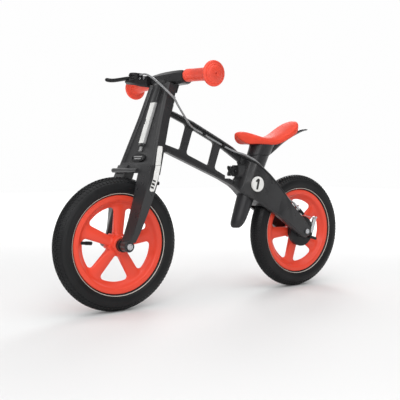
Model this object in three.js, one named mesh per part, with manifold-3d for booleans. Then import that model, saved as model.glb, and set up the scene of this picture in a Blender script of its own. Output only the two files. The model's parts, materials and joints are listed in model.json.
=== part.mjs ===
// Balance bike: a moulded ladder frame, a two-shell fork that steers, a sliding saddle,
// two five-spoke wheels and a hand-operated rear drum brake.
// Millimetres, +X forward, +Y to the rider's left, +Z up, origin on the floor midway between the axles.
import * as THREE from 'three';
import { mergeVertices } from 'three/addons/utils/BufferGeometryUtils.js';
import Module from 'manifold-3d';

const wasm = await Module();
wasm.setup();
const { Manifold, Mesh: SolidMesh } = wasm;

// ---------------------------------------------------------------- driving dimensions
const WHEELBASE = 548.2;
const WHEEL_R = 152;
const TYRE_SECTION_R = 22.9;
const TYRE_WALL = 3.4;
const INNER_TUBE_R = 17.4;
const RIM_LIP_R = 111.5;
const RIM_HALF_WIDTH = 15.3;
const WINDOW_OUTER_R = 85;
const WINDOW_INNER_R = 23;
const WHEEL_SEGMENTS = 40;
const SPOKES = 5;
const SPOKE_HALF_ANGLE = 11.5;
const FRONT_SPOKE_ANGLE = -6;
const REAR_SPOKE_ANGLE = 20;
const VALVE_R = 4.4;

const STEER_LEAN = 0.34;
const STEER_TOP = [124, 520];
const STEER_ANGLE = Math.atan(STEER_LEAN);
const FORK_FRONT = 35.3;
const FORK_DEPTH = 24.1;
const FORK_WALL = 7;
const BARREL_R = 17;
const STEER_BOLT_R = 7.5;
const BAR_X = 128;
const BAR_Z = 535.5;
const BAR_BEND_Y = 40;
const BAR_DROOP = 0.072;
const BAR_R = 9;
const BAR_END = 176;
const GRIP_R = 14.8;
const GRIP_FLANGE_R = 28;
const GRIP_START = 71;
const GRIP_END = 180.8;
const RIGHT_GRIP_START = 89;

const BEAM_HALF_WIDTH = 11;
const WEB_HALF = 4;
const TOP_FLANGE = 6;
const LOW_FLANGE = 5;
const ARM_OUTER_Y = 46;
const WHEEL_SLOT_HALF = 28.5;
const WHEEL_SLOT_R = 159;
const POST_LEAN = 0.4;
const POST_GAP = 0.7;
const AXLE_R = 5;
const CABLE_R = 2.1;
const CLAMP_Z = 315.5;
const KNOB_R = 17;
const KNOB_BACK = -60;
const KNOB_LOBE = 4;
const NUT_R = 7.5;
const GAP = 0.3;
// Far enough sideways for a cut to pass through any piece.
const THROUGH = 80;

const FRONT_AXLE = [WHEELBASE / 2, WHEEL_R];
const REAR_AXLE = [-WHEELBASE / 2, WHEEL_R];

// ---------------------------------------------------------------- materials
function plain(color, roughness, metalness = 0) {
  return new THREE.MeshStandardMaterial({ color, roughness, metalness });
}
const MATERIAL = {
  nylon: plain(0x2b2b2d, 0.55),
  black: plain(0x121213, 0.5),
  orange: plain(0xf04a34, 0.42),
  tyre: plain(0x17171a, 0.85),
  steel: plain(0xb9bcc0, 0.3, 1),
  cable: plain(0x8f9296, 0.4, 0.6),
  shell: plain(0x1b1b1d, 0.5),
};

// ---------------------------------------------------------------- geometry helpers
function bare(geometry) {
  const copy = geometry.clone();
  copy.deleteAttribute('normal');
  copy.deleteAttribute('uv');
  return mergeVertices(copy, 1e-4);
}

function signedVolume(positions, index) {
  const a = new THREE.Vector3();
  const b = new THREE.Vector3();
  const c = new THREE.Vector3();
  let total = 0;
  for (let i = 0; i < index.length; i += 3) {
    a.fromArray(positions, 3 * index[i]);
    b.fromArray(positions, 3 * index[i + 1]);
    c.fromArray(positions, 3 * index[i + 2]);
    total += a.dot(b.cross(c)) / 6;
  }
  return total;
}

// A manifold solid from a closed three.js geometry, turned so that its faces point out.
function solid(geometry) {
  const merged = bare(geometry);
  const positions = Float32Array.from(merged.attributes.position.array);
  const index = Uint32Array.from(merged.index.array);
  if (signedVolume(positions, index) < 0) {
    for (let i = 0; i < index.length; i += 3) {
      [index[i], index[i + 1]] = [index[i + 1], index[i]];
    }
  }
  return new Manifold(new SolidMesh({ numProp: 3, vertProperties: positions, triVerts: index }));
}

function join(...solids) {
  return solids.reduce((whole, next) => whole.add(next));
}

function toGeometry(shape) {
  const mesh = shape.getMesh();
  const geometry = new THREE.BufferGeometry();
  geometry.setAttribute('position', new THREE.BufferAttribute(new Float32Array(mesh.vertProperties), 3));
  geometry.setIndex(new THREE.BufferAttribute(new Uint32Array(mesh.triVerts), 1));
  geometry.computeVertexNormals();
  return geometry;
}

// A closed skin through rings of equally many points, with flat ends; `flat` gives a ring's 2-D points.
function loft(rings, flat) {
  const count = rings[0].length;
  const positions = rings.flat().flatMap((p) => [p.x, p.y, p.z]);
  const index = [];
  for (let k = 0; k + 1 < rings.length; k += 1) {
    for (let i = 0; i < count; i += 1) {
      const j = (i + 1) % count;
      const low = k * count;
      const high = low + count;
      index.push(low + i, low + j, high + j, low + i, high + j, high + i);
    }
  }
  [rings[0], rings[rings.length - 1]].forEach((ring, end) => {
    const outline = ring.map(flat);
    const turn = Math.sign(THREE.ShapeUtils.area(outline));
    const base = end * (rings.length - 1) * count;
    THREE.ShapeUtils.triangulateShape([...outline], []).forEach((face) => {
      const sameTurn = Math.sign(THREE.ShapeUtils.area(face.map((i) => outline[i]))) === turn;
      const forward = sameTurn === (end === 1);
      const [a, b, c] = forward ? face : [...face].reverse();
      index.push(base + a, base + b, base + c);
    });
  });
  const geometry = new THREE.BufferGeometry();
  geometry.setAttribute('position', new THREE.Float32BufferAttribute(positions, 3));
  geometry.setIndex(index);
  return solid(geometry);
}

const flatXY = (p) => new THREE.Vector2(p.x, p.y);
const flatXZ = (p) => new THREE.Vector2(p.x, p.z);
const flatYZ = (p) => new THREE.Vector2(p.y, p.z);
const at = (x, y, z) => new THREE.Vector3(x, y, z);

function mirrorY(shape) {
  return shape.mirror([0, 1, 0]);
}

function placed(shape, matrix) {
  return shape.transform(matrix.elements);
}

function box(x0, x1, y0, y1, z0, z1) {
  const geometry = new THREE.BoxGeometry(x1 - x0, y1 - y0, z1 - z0);
  geometry.translate((x0 + x1) / 2, (y0 + y1) / 2, (z0 + z1) / 2);
  return solid(geometry);
}

// A cylinder or cone frustum between two points.
function rod(from, to, r0, r1 = r0, segments = 20) {
  const span = to.clone().sub(from);
  const geometry = new THREE.CylinderGeometry(r1, r0, span.length(), segments);
  const turn = new THREE.Quaternion().setFromUnitVectors(at(0, 1, 0), span.normalize());
  geometry.applyQuaternion(turn);
  geometry.translate((from.x + to.x) / 2, (from.y + to.y) / 2, (from.z + to.z) / 2);
  return solid(geometry);
}

// A body of revolution about the Y direction, its profile given as [radius, y] pairs, centred on [x, z].
function turned(profile, [x, z], segments) {
  const points = profile.map(([r, y]) => new THREE.Vector2(r, y));
  const geometry = new THREE.LatheGeometry(points, segments);
  geometry.translate(x, 0, z);
  return solid(geometry);
}

function ring([x, z], y0, y1, inner, outer, segments = 24) {
  return turned([[inner, y0], [outer, y0], [outer, y1], [inner, y1], [inner, y0]], [x, z], segments);
}

function disc([x, z], y0, y1, r, segments = 24) {
  return turned([[0, y0], [r, y0], [r, y1], [0, y1]], [x, z], segments);
}

function hexNut(centre, y0, y1) {
  const sides = 6;
  return disc(centre, y0, y1, NUT_R, sides).subtract(disc(centre, y0 - 1, y1 + 1, AXLE_R + 0.2, 20));
}

// A flat outline in the X-Z plane, pushed along Y.
function slab(shape, y0, y1, curveSegments = 6) {
  const geometry = new THREE.ExtrudeGeometry(shape, { depth: y1 - y0, bevelEnabled: false, curveSegments });
  geometry.rotateX(Math.PI / 2);
  geometry.translate(0, y1, 0);
  return solid(geometry);
}

// A closed outline with every corner rounded.
function roundedOutline(corners, radius) {
  const shape = new THREE.Shape();
  const count = corners.length;
  corners.forEach((corner, i) => {
    const here = new THREE.Vector2(...corner);
    const before = new THREE.Vector2(...corners[(i + count - 1) % count]);
    const after = new THREE.Vector2(...corners[(i + 1) % count]);
    const start = here.clone().add(before.sub(here).setLength(radius));
    const end = here.clone().add(after.sub(here).setLength(radius));
    if (i === 0) {
      shape.moveTo(start.x, start.y);
    } else {
      shape.lineTo(start.x, start.y);
    }
    shape.quadraticCurveTo(here.x, here.y, end.x, end.y);
  });
  shape.closePath();
  return shape;
}

function tube(points, radius, steps, sides = 8) {
  const section = new THREE.Shape();
  for (let i = 0; i < sides; i += 1) {
    const angle = (2 * Math.PI * i) / sides;
    const corner = [radius * Math.cos(angle), radius * Math.sin(angle)];
    if (i === 0) {
      section.moveTo(...corner);
    } else {
      section.lineTo(...corner);
    }
  }
  section.closePath();
  const path = new THREE.CatmullRomCurve3(points, false, 'centripetal');
  const options = { steps, extrudePath: path, bevelEnabled: false, curveSegments: 1 };
  return solid(new THREE.ExtrudeGeometry(section, options));
}

// ---------------------------------------------------------------- the bike and its node list
const bike = new THREE.Group();
function add(name, shape, material) {
  const mesh = new THREE.Mesh(toGeometry(shape), material);
  mesh.name = name;
  bike.add(mesh);
}

// The steering frame: local X forward and square to the steering axis, local Z up along it.
const steerFrame = new THREE.Matrix4()
  .makeTranslation(STEER_TOP[0], 0, STEER_TOP[1])
  .multiply(new THREE.Matrix4().makeRotationY(-STEER_ANGLE));
const inSteerFrame = (shape) => placed(shape, steerFrame);
const steerRod = (z0, z1, r, segments = 20) => rod(at(0, 0, z0), at(0, 0, z1), r, r, segments);

// ---------------------------------------------------------------- wheels
function tyreProfile() {
  const centre = WHEEL_R - TYRE_SECTION_R;
  const mouth = Math.PI - Math.asin(15 / TYRE_SECTION_R);
  const inner = TYRE_SECTION_R - TYRE_WALL;
  const innerMouth = Math.PI - Math.asin(10 / inner);
  const steps = 8;
  const profile = [];
  for (let i = 0; i <= steps; i += 1) {
    const angle = -mouth + (2 * mouth * i) / steps;
    profile.push([centre + TYRE_SECTION_R * Math.cos(angle), TYRE_SECTION_R * Math.sin(angle)]);
  }
  for (let i = steps; i >= 0; i -= 1) {
    const angle = -innerMouth + (2 * innerMouth * i) / steps;
    profile.push([centre + inner * Math.cos(angle), inner * Math.sin(angle)]);
  }
  profile.push(profile[0]);
  return profile;
}

function tyre(axle) {
  return turned(tyreProfile(), axle, WHEEL_SEGMENTS);
}

function innerTube(axle) {
  const centre = WHEEL_R - TYRE_SECTION_R;
  const r = INNER_TUBE_R;
  const sides = 8;
  const profile = [];
  for (let i = 0; i <= sides; i += 1) {
    const angle = (2 * Math.PI * i) / sides;
    profile.push([centre + r * Math.cos(angle), r * Math.sin(angle)]);
  }
  profile[sides] = profile[0];
  return turned(profile, axle, 24);
}

function windowOutline(angleDeg, [x, z]) {
  const half = THREE.MathUtils.degToRad(180 / SPOKES - SPOKE_HALF_ANGLE);
  const middle = THREE.MathUtils.degToRad(angleDeg);
  const polar = (r, offset) => [x + r * Math.sin(middle + offset), z + r * Math.cos(middle + offset)];
  const apexHalf = 0.2;
  const shape = new THREE.Shape();
  shape.moveTo(...polar(WINDOW_INNER_R + 3, -apexHalf));
  shape.lineTo(...polar(WINDOW_OUTER_R - 10, -half));
  shape.quadraticCurveTo(...polar(WINDOW_OUTER_R, -half), ...polar(WINDOW_OUTER_R, -half * 0.66));
  for (let i = -1; i <= 2; i += 1) {
    shape.lineTo(...polar(WINDOW_OUTER_R, half * i * 0.33));
  }
  shape.quadraticCurveTo(...polar(WINDOW_OUTER_R, half), ...polar(WINDOW_OUTER_R - 10, half));
  shape.lineTo(...polar(WINDOW_INNER_R + 3, apexHalf));
  shape.quadraticCurveTo(...polar(WINDOW_INNER_R - 2, 0), ...polar(WINDOW_INNER_R + 3, -apexHalf));
  return shape;
}

function rim(axle, firstSpoke, hubHalf, leftHubHalf) {
  const half = [
    [9.6, hubHalf], [19, hubHalf], [22, 12], [50, 8.5], [84, 8], [89, 9.5], [97, 14.4],
    [RIM_LIP_R, RIM_HALF_WIDTH], [RIM_LIP_R, 12.6], [103, 11],
  ];
  const right = half.map(([r, y]) => [r, -y]);
  const left = half.map(([r, y]) => [r, y === hubHalf ? leftHubHalf : y]).reverse();
  let body = turned([...right, ...left, right[0]], axle, WHEEL_SEGMENTS);
  for (let i = 0; i < SPOKES; i += 1) {
    const angle = firstSpoke + ((i + 0.5) * 360) / SPOKES;
    body = body.subtract(slab(windowOutline(angle, axle), -THROUGH, THROUGH));
  }
  return body;
}

function valveAt([x, z], angleDeg, radius, y0, r0, r1) {
  const angle = THREE.MathUtils.degToRad(angleDeg);
  const spot = (r) => at(x + r * Math.sin(angle), y0, z + r * Math.cos(angle));
  return rod(spot(r1), spot(r0), radius, radius, 12);
}

function addWheel(side, axle, firstSpoke, valveAngle, hubHalf, leftHubHalf) {
  const valveHole = valveAt(axle, valveAngle, VALVE_R + 0.6, 0, 70, 108);
  add(`${side}_rim`, rim(axle, firstSpoke, hubHalf, leftHubHalf).subtract(valveHole), MATERIAL.orange);
  add(`${side}_tyre`, tyre(axle), MATERIAL.tyre);
  add(`${side}_inner_tube`, innerTube(axle), MATERIAL.black);
  add(`${side}_valve`, valveAt(axle, valveAngle, VALVE_R, 0, 61, 108.5), MATERIAL.black);
  const seats = [[-hubHalf + 1, -hubHalf + 8, 'right'], [leftHubHalf - 8, leftHubHalf - 1, 'left']];
  seats.forEach(([y0, y1, hand]) => {
    add(`${side}_bearing_${hand}`, ring(axle, y0, y1, AXLE_R + 0.2, 9.5, 16), MATERIAL.steel);
  });
}

// ---------------------------------------------------------------- brake cable
// The loop that crosses the steering joint, lever to frame.
const LOOP_ROUTE = [
  [164, -81.9, 549], [161.5, -60, 548], [162, -32, 538.5], [170.5, 15, 519], [175.5, 54, 499.5],
  [160, 63, 481.5], [144, 56, 465.5], [115.8, 38, 445.1], [86.8, 18, 426.6], [70, 8.6, 419.6],
  [61.4, 7.5, 415.6],
];
// The stretch held by the frame: along the upper rail, then in a groove on the left arm's top.
const RAIL_ROUTE = [
  [60.5, 7.5, 415.3], [38.8, 7.5, 405.6], [8.6, 7.5, 391.4], [-21.7, 7.8, 378.2], [-45.4, 14, 366.7],
  [-58.6, 20, 361.7], [-71.2, 26.5, 357.5], [-84, 33, 350.8], [-103, 35, 341.6], [-126, 36, 324],
  [-150, 36.5, 305.6], [-178, 37, 279.6], [-203, 37.5, 253.2], [-218, 38, 238.6], [-228, 38, 232.9],
  [-235.3, 38, 228.7],
];
const CABLE_STEPS = 32;
const toPoints = (route) => route.map((p) => at(...p));

function cableGroove() {
  return tube(toPoints(RAIL_ROUTE), CABLE_R + 0.7, CABLE_STEPS);
}

// ---------------------------------------------------------------- frame
function frameStation(x, top, bottom, halfWidth, chamfer) {
  return [
    at(x, -halfWidth + chamfer, bottom), at(x, halfWidth - chamfer, bottom),
    at(x, halfWidth, bottom + chamfer), at(x, halfWidth, top - chamfer),
    at(x, halfWidth - chamfer, top), at(x, -halfWidth + chamfer, top),
    at(x, -halfWidth, top - chamfer), at(x, -halfWidth, bottom + chamfer),
  ];
}

// The frame's side view: [x, top edge, bottom edge, half width, chamfer], front to rear.
const BEAM_STATIONS = [
  [146, 464, 360.9, BEAM_HALF_WIDTH, 3], [118, 453.9, 349.7, BEAM_HALF_WIDTH, 3],
  [70, 435.1, 330.4, BEAM_HALF_WIDTH, 3], [46, 423.8, 320.4, BEAM_HALF_WIDTH, 3],
  [-14, 394.6, 294.6, BEAM_HALF_WIDTH, 3], [-50, 374.5, 277.3, 14, 3],
];
const FRAME_STATIONS = [
  ...BEAM_STATIONS, [-66, 363, 265, 16, 4], [-80, 356, 255.5, 22, 4], [-92, 349.5, 248.5, 30, 4],
  [-103, 343, 241, 38, 4], [-120, 330.5, 231, 42, 4], [-150, 307, 214, 44, 4], [-178, 281, 197, 45, 4],
  [-203, 254.5, 180, ARM_OUTER_Y, 6], [-224.5, 230, 165, ARM_OUTER_Y, 6], [-246, 209, 149, ARM_OUTER_Y, 5],
  [-262, 193, 139, ARM_OUTER_Y, 4], [-274, 181, 135, ARM_OUTER_Y, 4], [-286, 166, 139.5, ARM_OUTER_Y, 3],
  [-290.5, 158, 146, ARM_OUTER_Y, 3],
];
// The three windows of the ladder, each as four corners in the X-Z plane.
const WINDOW_CORNER = 9;
const FRAME_WINDOWS = [
  [[144, 450.4], [84.9, 426.1], [103.7, 365.5], [157, 382.2]],
  [[68, 416], [2.6, 384.9], [20.1, 327.9], [87.7, 356.9]],
  [[-15.2, 375.2], [-80, 335], [-64, 287.3], [3.6, 320.9]],
];
// The seat post: [z, centre x, half length, half width], bottom to top.
const POST_STATIONS = [
  [170, -68, 10, 10], [175, -69.8, 15, 15], [184, -74, 18.5, 18.5], [193, -78, 19.8, 19.5],
  [240, -96.8, 23.6, 21.9], [320, -127.2, 27.6, 24.5], [356, -141.2, 30.6, 26.3],
];

function postRing([z, x, a, b], grow) {
  const sides = 20;
  const points = [];
  for (let i = 0; i < sides; i += 1) {
    const angle = (2 * Math.PI * i) / sides;
    points.push(at(x + (a + grow) * Math.cos(angle), (b + grow) * Math.sin(angle), z));
  }
  return points;
}

function postSolid(stations, grow) {
  return loft(stations.map((station) => postRing(station, grow)), flatXY);
}

function seatPocket() {
  const [z, x, a, b] = POST_STATIONS[POST_STATIONS.length - 1];
  const rise = 44;
  const open = [z + rise, x - rise * POST_LEAN, a + 2, b + 1.5];
  return postSolid([...POST_STATIONS.slice(3), open], POST_GAP);
}

// Half the thickness between the flanges, as [x at the height of TUBE_LEVEL, half thickness]: the thin web
// of the ladder, the clamp's fin, the rounded wall of the seat tube, then the arm. It leans with the post.
const TUBE_LEVEL = 300;
const PANEL_LEAN = 0.36;
const PANEL_PLAN = [
  [200, WEB_HALF], [-61, WEB_HALF], [-62, 7], [-77, 7], [-78.5, 11], [-82, 17.5], [-88, 24.5], [-96, 30.5],
  [-107, 35], [-121, 38.3], [-140, 40.5], [-180, 42.3], [-205, 43.2], [-245, 47.5], [-300, 60],
];
const POCKET_REAR_X = -262;

// The hollow on the left of the frame, between its top and bottom flanges.
function sidePocket() {
  const edge = FRAME_STATIONS.filter(([x]) => x > POCKET_REAR_X)
    .map(([x, top, bottom]) => [x, top - TOP_FLANGE, bottom + LOW_FLANGE]);
  const [frontX, frontTop, frontLow] = edge[0];
  edge.unshift([frontX + 20, frontTop, frontLow]);
  const outline = new THREE.Shape();
  const corners = [...edge.map(([x, top]) => [x, top]), ...edge.reverse().map(([x, , low]) => [x, low])];
  outline.setFromPoints(corners.map((corner) => new THREE.Vector2(...corner)));
  const [first, last] = [PANEL_PLAN[0], PANEL_PLAN[PANEL_PLAN.length - 1]];
  const plan = [...PANEL_PLAN, [last[0], THROUGH], [first[0], THROUGH]];
  const level = (z) => plan.map(([x, y]) => at(x - PANEL_LEAN * (z - TUBE_LEVEL), y, z)).reverse();
  return slab(outline, 0, THROUGH).intersect(loft([level(100), level(500)], flatXY));
}

function ladderBeam() {
  let body = loft(FRAME_STATIONS.map((station) => frameStation(...station)), flatYZ);
  FRAME_WINDOWS.forEach((corners) => {
    body = body.subtract(slab(roundedOutline(corners, WINDOW_CORNER), -THROUGH, THROUGH));
  });
  const pocket = sidePocket();
  return body.subtract(pocket).subtract(mirrorY(pocket));
}

function mainFrame() {
  let body = ladderBeam();
  body = join(body, box(-92, -66, -13, 13, 301, 330));
  const slot = disc(REAR_AXLE, -WHEEL_SLOT_HALF, WHEEL_SLOT_HALF, WHEEL_SLOT_R, 40);
  const barrel = inSteerFrame(steerRod(-180, -47, BARREL_R, 24));
  body = join(body.subtract(slot).subtract(seatPocket()), barrel);
  const bore = inSteerFrame(steerRod(-200, -20, STEER_BOLT_R + 0.6, 20));
  const seats = [[-181, -165], [-62, -46]].map(([z0, z1]) => inSteerFrame(steerRod(z0, z1, 12.9)));
  const axleHole = disc(REAR_AXLE, -THROUGH, THROUGH, AXLE_R + 0.2, 20);
  const knobRoom = KNOB_R + 2.5;
  const knobSpace = rod(at(-30, 0, CLAMP_Z), at(KNOB_BACK - 1.5, 0, CLAMP_Z), knobRoom, knobRoom, 24);
  const clampHole = rod(at(-50, 0, CLAMP_Z), at(-110, 0, CLAMP_Z), 4.6, 4.6, 16);
  body = body.subtract(bore).subtract(axleHole).subtract(clampHole).subtract(knobSpace)
    .subtract(cableGroove());
  seats.forEach((seat) => {
    body = body.subtract(seat);
  });
  return body;
}

function headBush(z0, z1, flange0, flange1) {
  const inside = steerRod(Math.min(z0, flange0) - 1, Math.max(z1, flange1) + 1, STEER_BOLT_R + 0.15);
  return inSteerFrame(join(steerRod(z0, z1, 12.6), steerRod(flange0, flange1, 16)).subtract(inside));
}

function addFrame() {
  add('main_frame', mainFrame(), MATERIAL.nylon);
  add('upper_head_bush', headBush(-61.7, -46.5, -46.7, -44.3), MATERIAL.black);
  add('lower_head_bush', headBush(-180.5, -165.3, -182.7, -180.3), MATERIAL.black);
  add('rear_axle', disc(REAR_AXLE, -50, 50, AXLE_R, 16), MATERIAL.steel);
  add('rear_hub_spacer_right', ring(REAR_AXLE, -28.2, -24.3, AXLE_R + 0.2, 12, 16), MATERIAL.black);
  [['left', 1], ['right', -1]].forEach(([hand, sign]) => {
    const y = [ARM_OUTER_Y + GAP, 50.5].map((v) => v * sign);
    const nut = hexNut(REAR_AXLE, Math.min(...y), Math.max(...y));
    add(`rear_axle_nut_${hand}`, nut, MATERIAL.steel);
  });
}

// ---------------------------------------------------------------- rear drum brake
const DRUM_R = 40;
const SHOE_R = 34.5;
const CAM_BACK = 31.5;

function brakeDrum() {
  const profile = [
    [24, 12.8], [DRUM_R, 14.5], [DRUM_R, 25.2], [36, 25.2], [36, 17.2], [24, 17.2], [24, 12.8],
  ];
  return turned(profile, REAR_AXLE, 36);
}

function brakeShoe(upper) {
  const [x, z] = REAR_AXLE;
  const full = ring(REAR_AXLE, 18, 25, SHOE_R - 6, SHOE_R, 36);
  const [low, high] = upper ? [z - 50, z + 8] : [z - 8, z + 50];
  return full.subtract(box(x - 50, x + 50, 10, 30, low, high));
}

// The left arm's top near the wheel: local X down its slope to the rear, local Z square to it.
const ARM_TOP = at(-240, 38, 214.9);
const ARM_SLOPE = at(-0.715, 0, -0.699).normalize();
const armNormal = at(ARM_SLOPE.z, 0, -ARM_SLOPE.x);
const armFrame = new THREE.Matrix4().makeBasis(ARM_SLOPE, at(0, -1, 0), armNormal).setPosition(ARM_TOP);
const ADJUSTER_RISE = 6.5;

function addCableEnd() {
  const alongSlope = (x0, x1, r0, r1, z1 = ADJUSTER_RISE) => placed(
    rod(at(x0, 0, ADJUSTER_RISE), at(x1, 0, z1), r0, r1, 14),
    armFrame,
  );
  const plate = placed(box(-1.5, 1.5, -6, 6, 0.8, 11.5), armFrame);
  add('cable_stop', plate.subtract(alongSlope(-20, 20, 3.9, 3.9)), MATERIAL.steel);
  add('barrel_adjuster', alongSlope(-12, 12, 3.5, 3.5), MATERIAL.steel);
  add('cable_bellows', alongSlope(12.4, 33, 5, 4, 8), MATERIAL.black);
}

function addBrake() {
  const [x, z] = REAR_AXLE;
  const camHole = rod(at(x - CAM_BACK, 20, z + 2), at(x - CAM_BACK, 40, z + 2), 4.4, 4.4, 12);
  const plate = ring(REAR_AXLE, 25.5, 28.1, AXLE_R + 0.2, 41, 36).subtract(camHole);
  add('brake_back_plate', plate, MATERIAL.black);
  add('brake_shoe_upper', brakeShoe(true), MATERIAL.black);
  add('brake_shoe_lower', brakeShoe(false), MATERIAL.black);
  const strap = [[x - 26, z - 13], [x - 52, z - 21], [x - 50, z - 28], [x - 22, z - 20]];
  add('torque_strap', slab(roundedOutline(strap, 3), 28.5, 34), MATERIAL.black);
  const cam = rod(at(x - CAM_BACK, 18.3, z + 2), at(x - CAM_BACK, 28.8, z + 2), 4, 4, 12);
  const outline = [[x - 26, z - 6], [x - 37, z - 6], [x - 50, z + 33], [x - 40, z + 37]];
  add('brake_arm', join(cam, slab(roundedOutline(outline, 5), 28.5, 33.5)), MATERIAL.steel);
  addCableEnd();
}

// ---------------------------------------------------------------- seat
const TAIL_HALF_WIDTH = 19;
const SHELL_BOTTOM = 356.4;

function saddleShell() {
  const neck = postSolid([[356, -142.5, 32.8, 26.8], [372, -149.5, 34, 28], [390.2, -157, 38, 31]], 0);
  const tailOutline = new THREE.Shape([
    [-170, 350], [-193, 365], [-221, 387], [-242, 398], [-266, 410], [-289, 420], [-314, 425],
    [-314, 428], [-289, 428], [-279, 426], [-264, 421], [-245, 411.3], [-215, 398.3],
    [-180, 390], [-160, 389.7],
  ].map((corner) => new THREE.Vector2(...corner)));
  const tail = slab(tailOutline, -TAIL_HALF_WIDTH, TAIL_HALF_WIDTH);
  return join(neck, tail).subtract(box(-400, -50, -THROUGH, THROUGH, 300, SHELL_BOTTOM));
}

// The pad: [x, half width, underside, top], nose to tail.
const PAD_STATIONS = [
  [-68, 8, 402, 408], [-74, 16, 395, 413], [-88, 22, 391, 415.5], [-110, 27, 391, 412],
  [-147, 32, 390.5, 404], [-180, 37, 391, 408], [-215, 42, 400, 424], [-240, 41, 411, 440],
  [-256, 28, 420, 448], [-265, 12, 429, 446],
];

function saddlePad() {
  const rings = PAD_STATIONS.map(([x, w, low, high]) => {
    const mid = low + (high - low) * 0.45;
    return [
      at(x, -w * 0.75, low), at(x, w * 0.75, low), at(x, w, mid), at(x, w * 0.85, high - 4),
      at(x, w * 0.4, high), at(x, -w * 0.4, high), at(x, -w * 0.85, high - 4), at(x, -w, mid),
    ];
  });
  return loft(rings, flatYZ);
}

function starKnob() {
  const profile = new THREE.Shape();
  const lobes = 4;
  const steps = 32;
  for (let i = 0; i < steps; i += 1) {
    const angle = (2 * Math.PI * i) / steps;
    const r = KNOB_R - KNOB_LOBE + KNOB_LOBE * Math.cos(lobes * angle + Math.PI);
    const point = [r * Math.cos(angle), r * Math.sin(angle)];
    if (i === 0) {
      profile.moveTo(...point);
    } else {
      profile.lineTo(...point);
    }
  }
  profile.closePath();
  const geometry = new THREE.ExtrudeGeometry(profile, { depth: 12, bevelEnabled: false });
  geometry.rotateY(Math.PI / 2);
  geometry.translate(KNOB_BACK, 0, CLAMP_Z);
  return solid(geometry);
}

function addSeat() {
  add('seat_post', postSolid(POST_STATIONS, 0), MATERIAL.shell);
  add('saddle_shell', saddleShell(), MATERIAL.shell);
  add('saddle_pad', saddlePad(), MATERIAL.orange);
  add('clamp_knob', starKnob(), MATERIAL.black);
  const clampBolt = rod(at(KNOB_BACK - GAP, 0, CLAMP_Z), at(-94.5, 0, CLAMP_Z), 4.1, 4.1, 14);
  add('clamp_bolt', clampBolt, MATERIAL.steel);
}

// ---------------------------------------------------------------- fork
// The fork shells in the steering frame: [height along the axis, outer half width].
const SHELL_STATIONS = [[-227.5, 80.8], [-138.8, 63.2], [-96.5, 54.2], [-12, 43.6]];
// The left leg: [z, rear x, front x inside, front x outside, inner y, outer y], top to bottom.
const LEG_STATIONS = [
  [330, 204.5, 229, 227.5, 28, 78.5], [300, 213.5, 240, 238, 33, 84], [270, 221.5, 249, 246, 38, 83],
  [240, 230.5, 257.5, 253, 40, 78], [210, 240, 266, 259, 40, 72], [180, 250.5, 275.5, 266, 39, 66],
  [160, 259, 283, 274, 38, 61],
];
const PANEL_RECESS = 5;
const PANEL_WALL = 10;
const SPINE_HALF = 12;

function shellRing([height, outer]) {
  const rear = FORK_FRONT - FORK_DEPTH;
  const inner = outer - FORK_WALL;
  const panelBack = FORK_FRONT - PANEL_WALL;
  return [
    at(FORK_FRONT, GAP / 2, height), at(FORK_FRONT, outer - 4, height), at(FORK_FRONT - 4, outer, height),
    at(rear, outer, height), at(rear, inner, height), at(panelBack, inner, height),
    at(panelBack, GAP / 2, height),
  ];
}

function panelPocket() {
  const rows = [[-206, 76.5], [-138.8, 63.2], [-96.5, 54.2], [-8, 43]];
  const [back, front, lip, overlap] = [FORK_FRONT - PANEL_RECESS, FORK_FRONT + 1, 8, -1];
  return loft(rows.map(([height, outer]) => [
    at(back, overlap, height), at(back, outer - lip - 3, height), at(front, outer - lip, height),
    at(front, overlap, height),
  ]), flatXY);
}

function forkHalf(rollEnd) {
  const shell = inSteerFrame(loft(SHELL_STATIONS.map(shellRing), flatXY).subtract(panelPocket()));
  const leg = loft(LEG_STATIONS.map(([z, rear, frontIn, frontOut, inner, outer]) => [
    at(rear, inner, z), at(frontIn, inner, z), at(frontIn, inner + 6, z),
    at(frontOut, outer, z), at(rear, outer, z),
  ]), flatXY);
  const eye = disc(FRONT_AXLE, 37, 60, 12.5, 24);
  const roll = rod(at(236.5, GAP / 2, 317.5), at(236.5, rollEnd, 317.5), 5.5, 5.5, 14);
  const hole = disc(FRONT_AXLE, 20, 80, AXLE_R + 0.2, 16);
  return join(shell, leg, eye, roll).subtract(hole);
}

// A plate between the fork's walls that narrows to a round eye on the steering axis.
function crown(halfWidth, low, high) {
  const front = FORK_FRONT - PANEL_WALL - GAP;
  const outline = [
    [front, -halfWidth], [front, halfWidth], [14, halfWidth], [-6, 14], [-6, -14], [14, -halfWidth],
  ];
  const plate = loft([low, high].map((z) => outline.map(([x, y]) => at(x, y, z))), flatXY);
  return join(plate, steerRod(low, high, 16.5));
}

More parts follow.
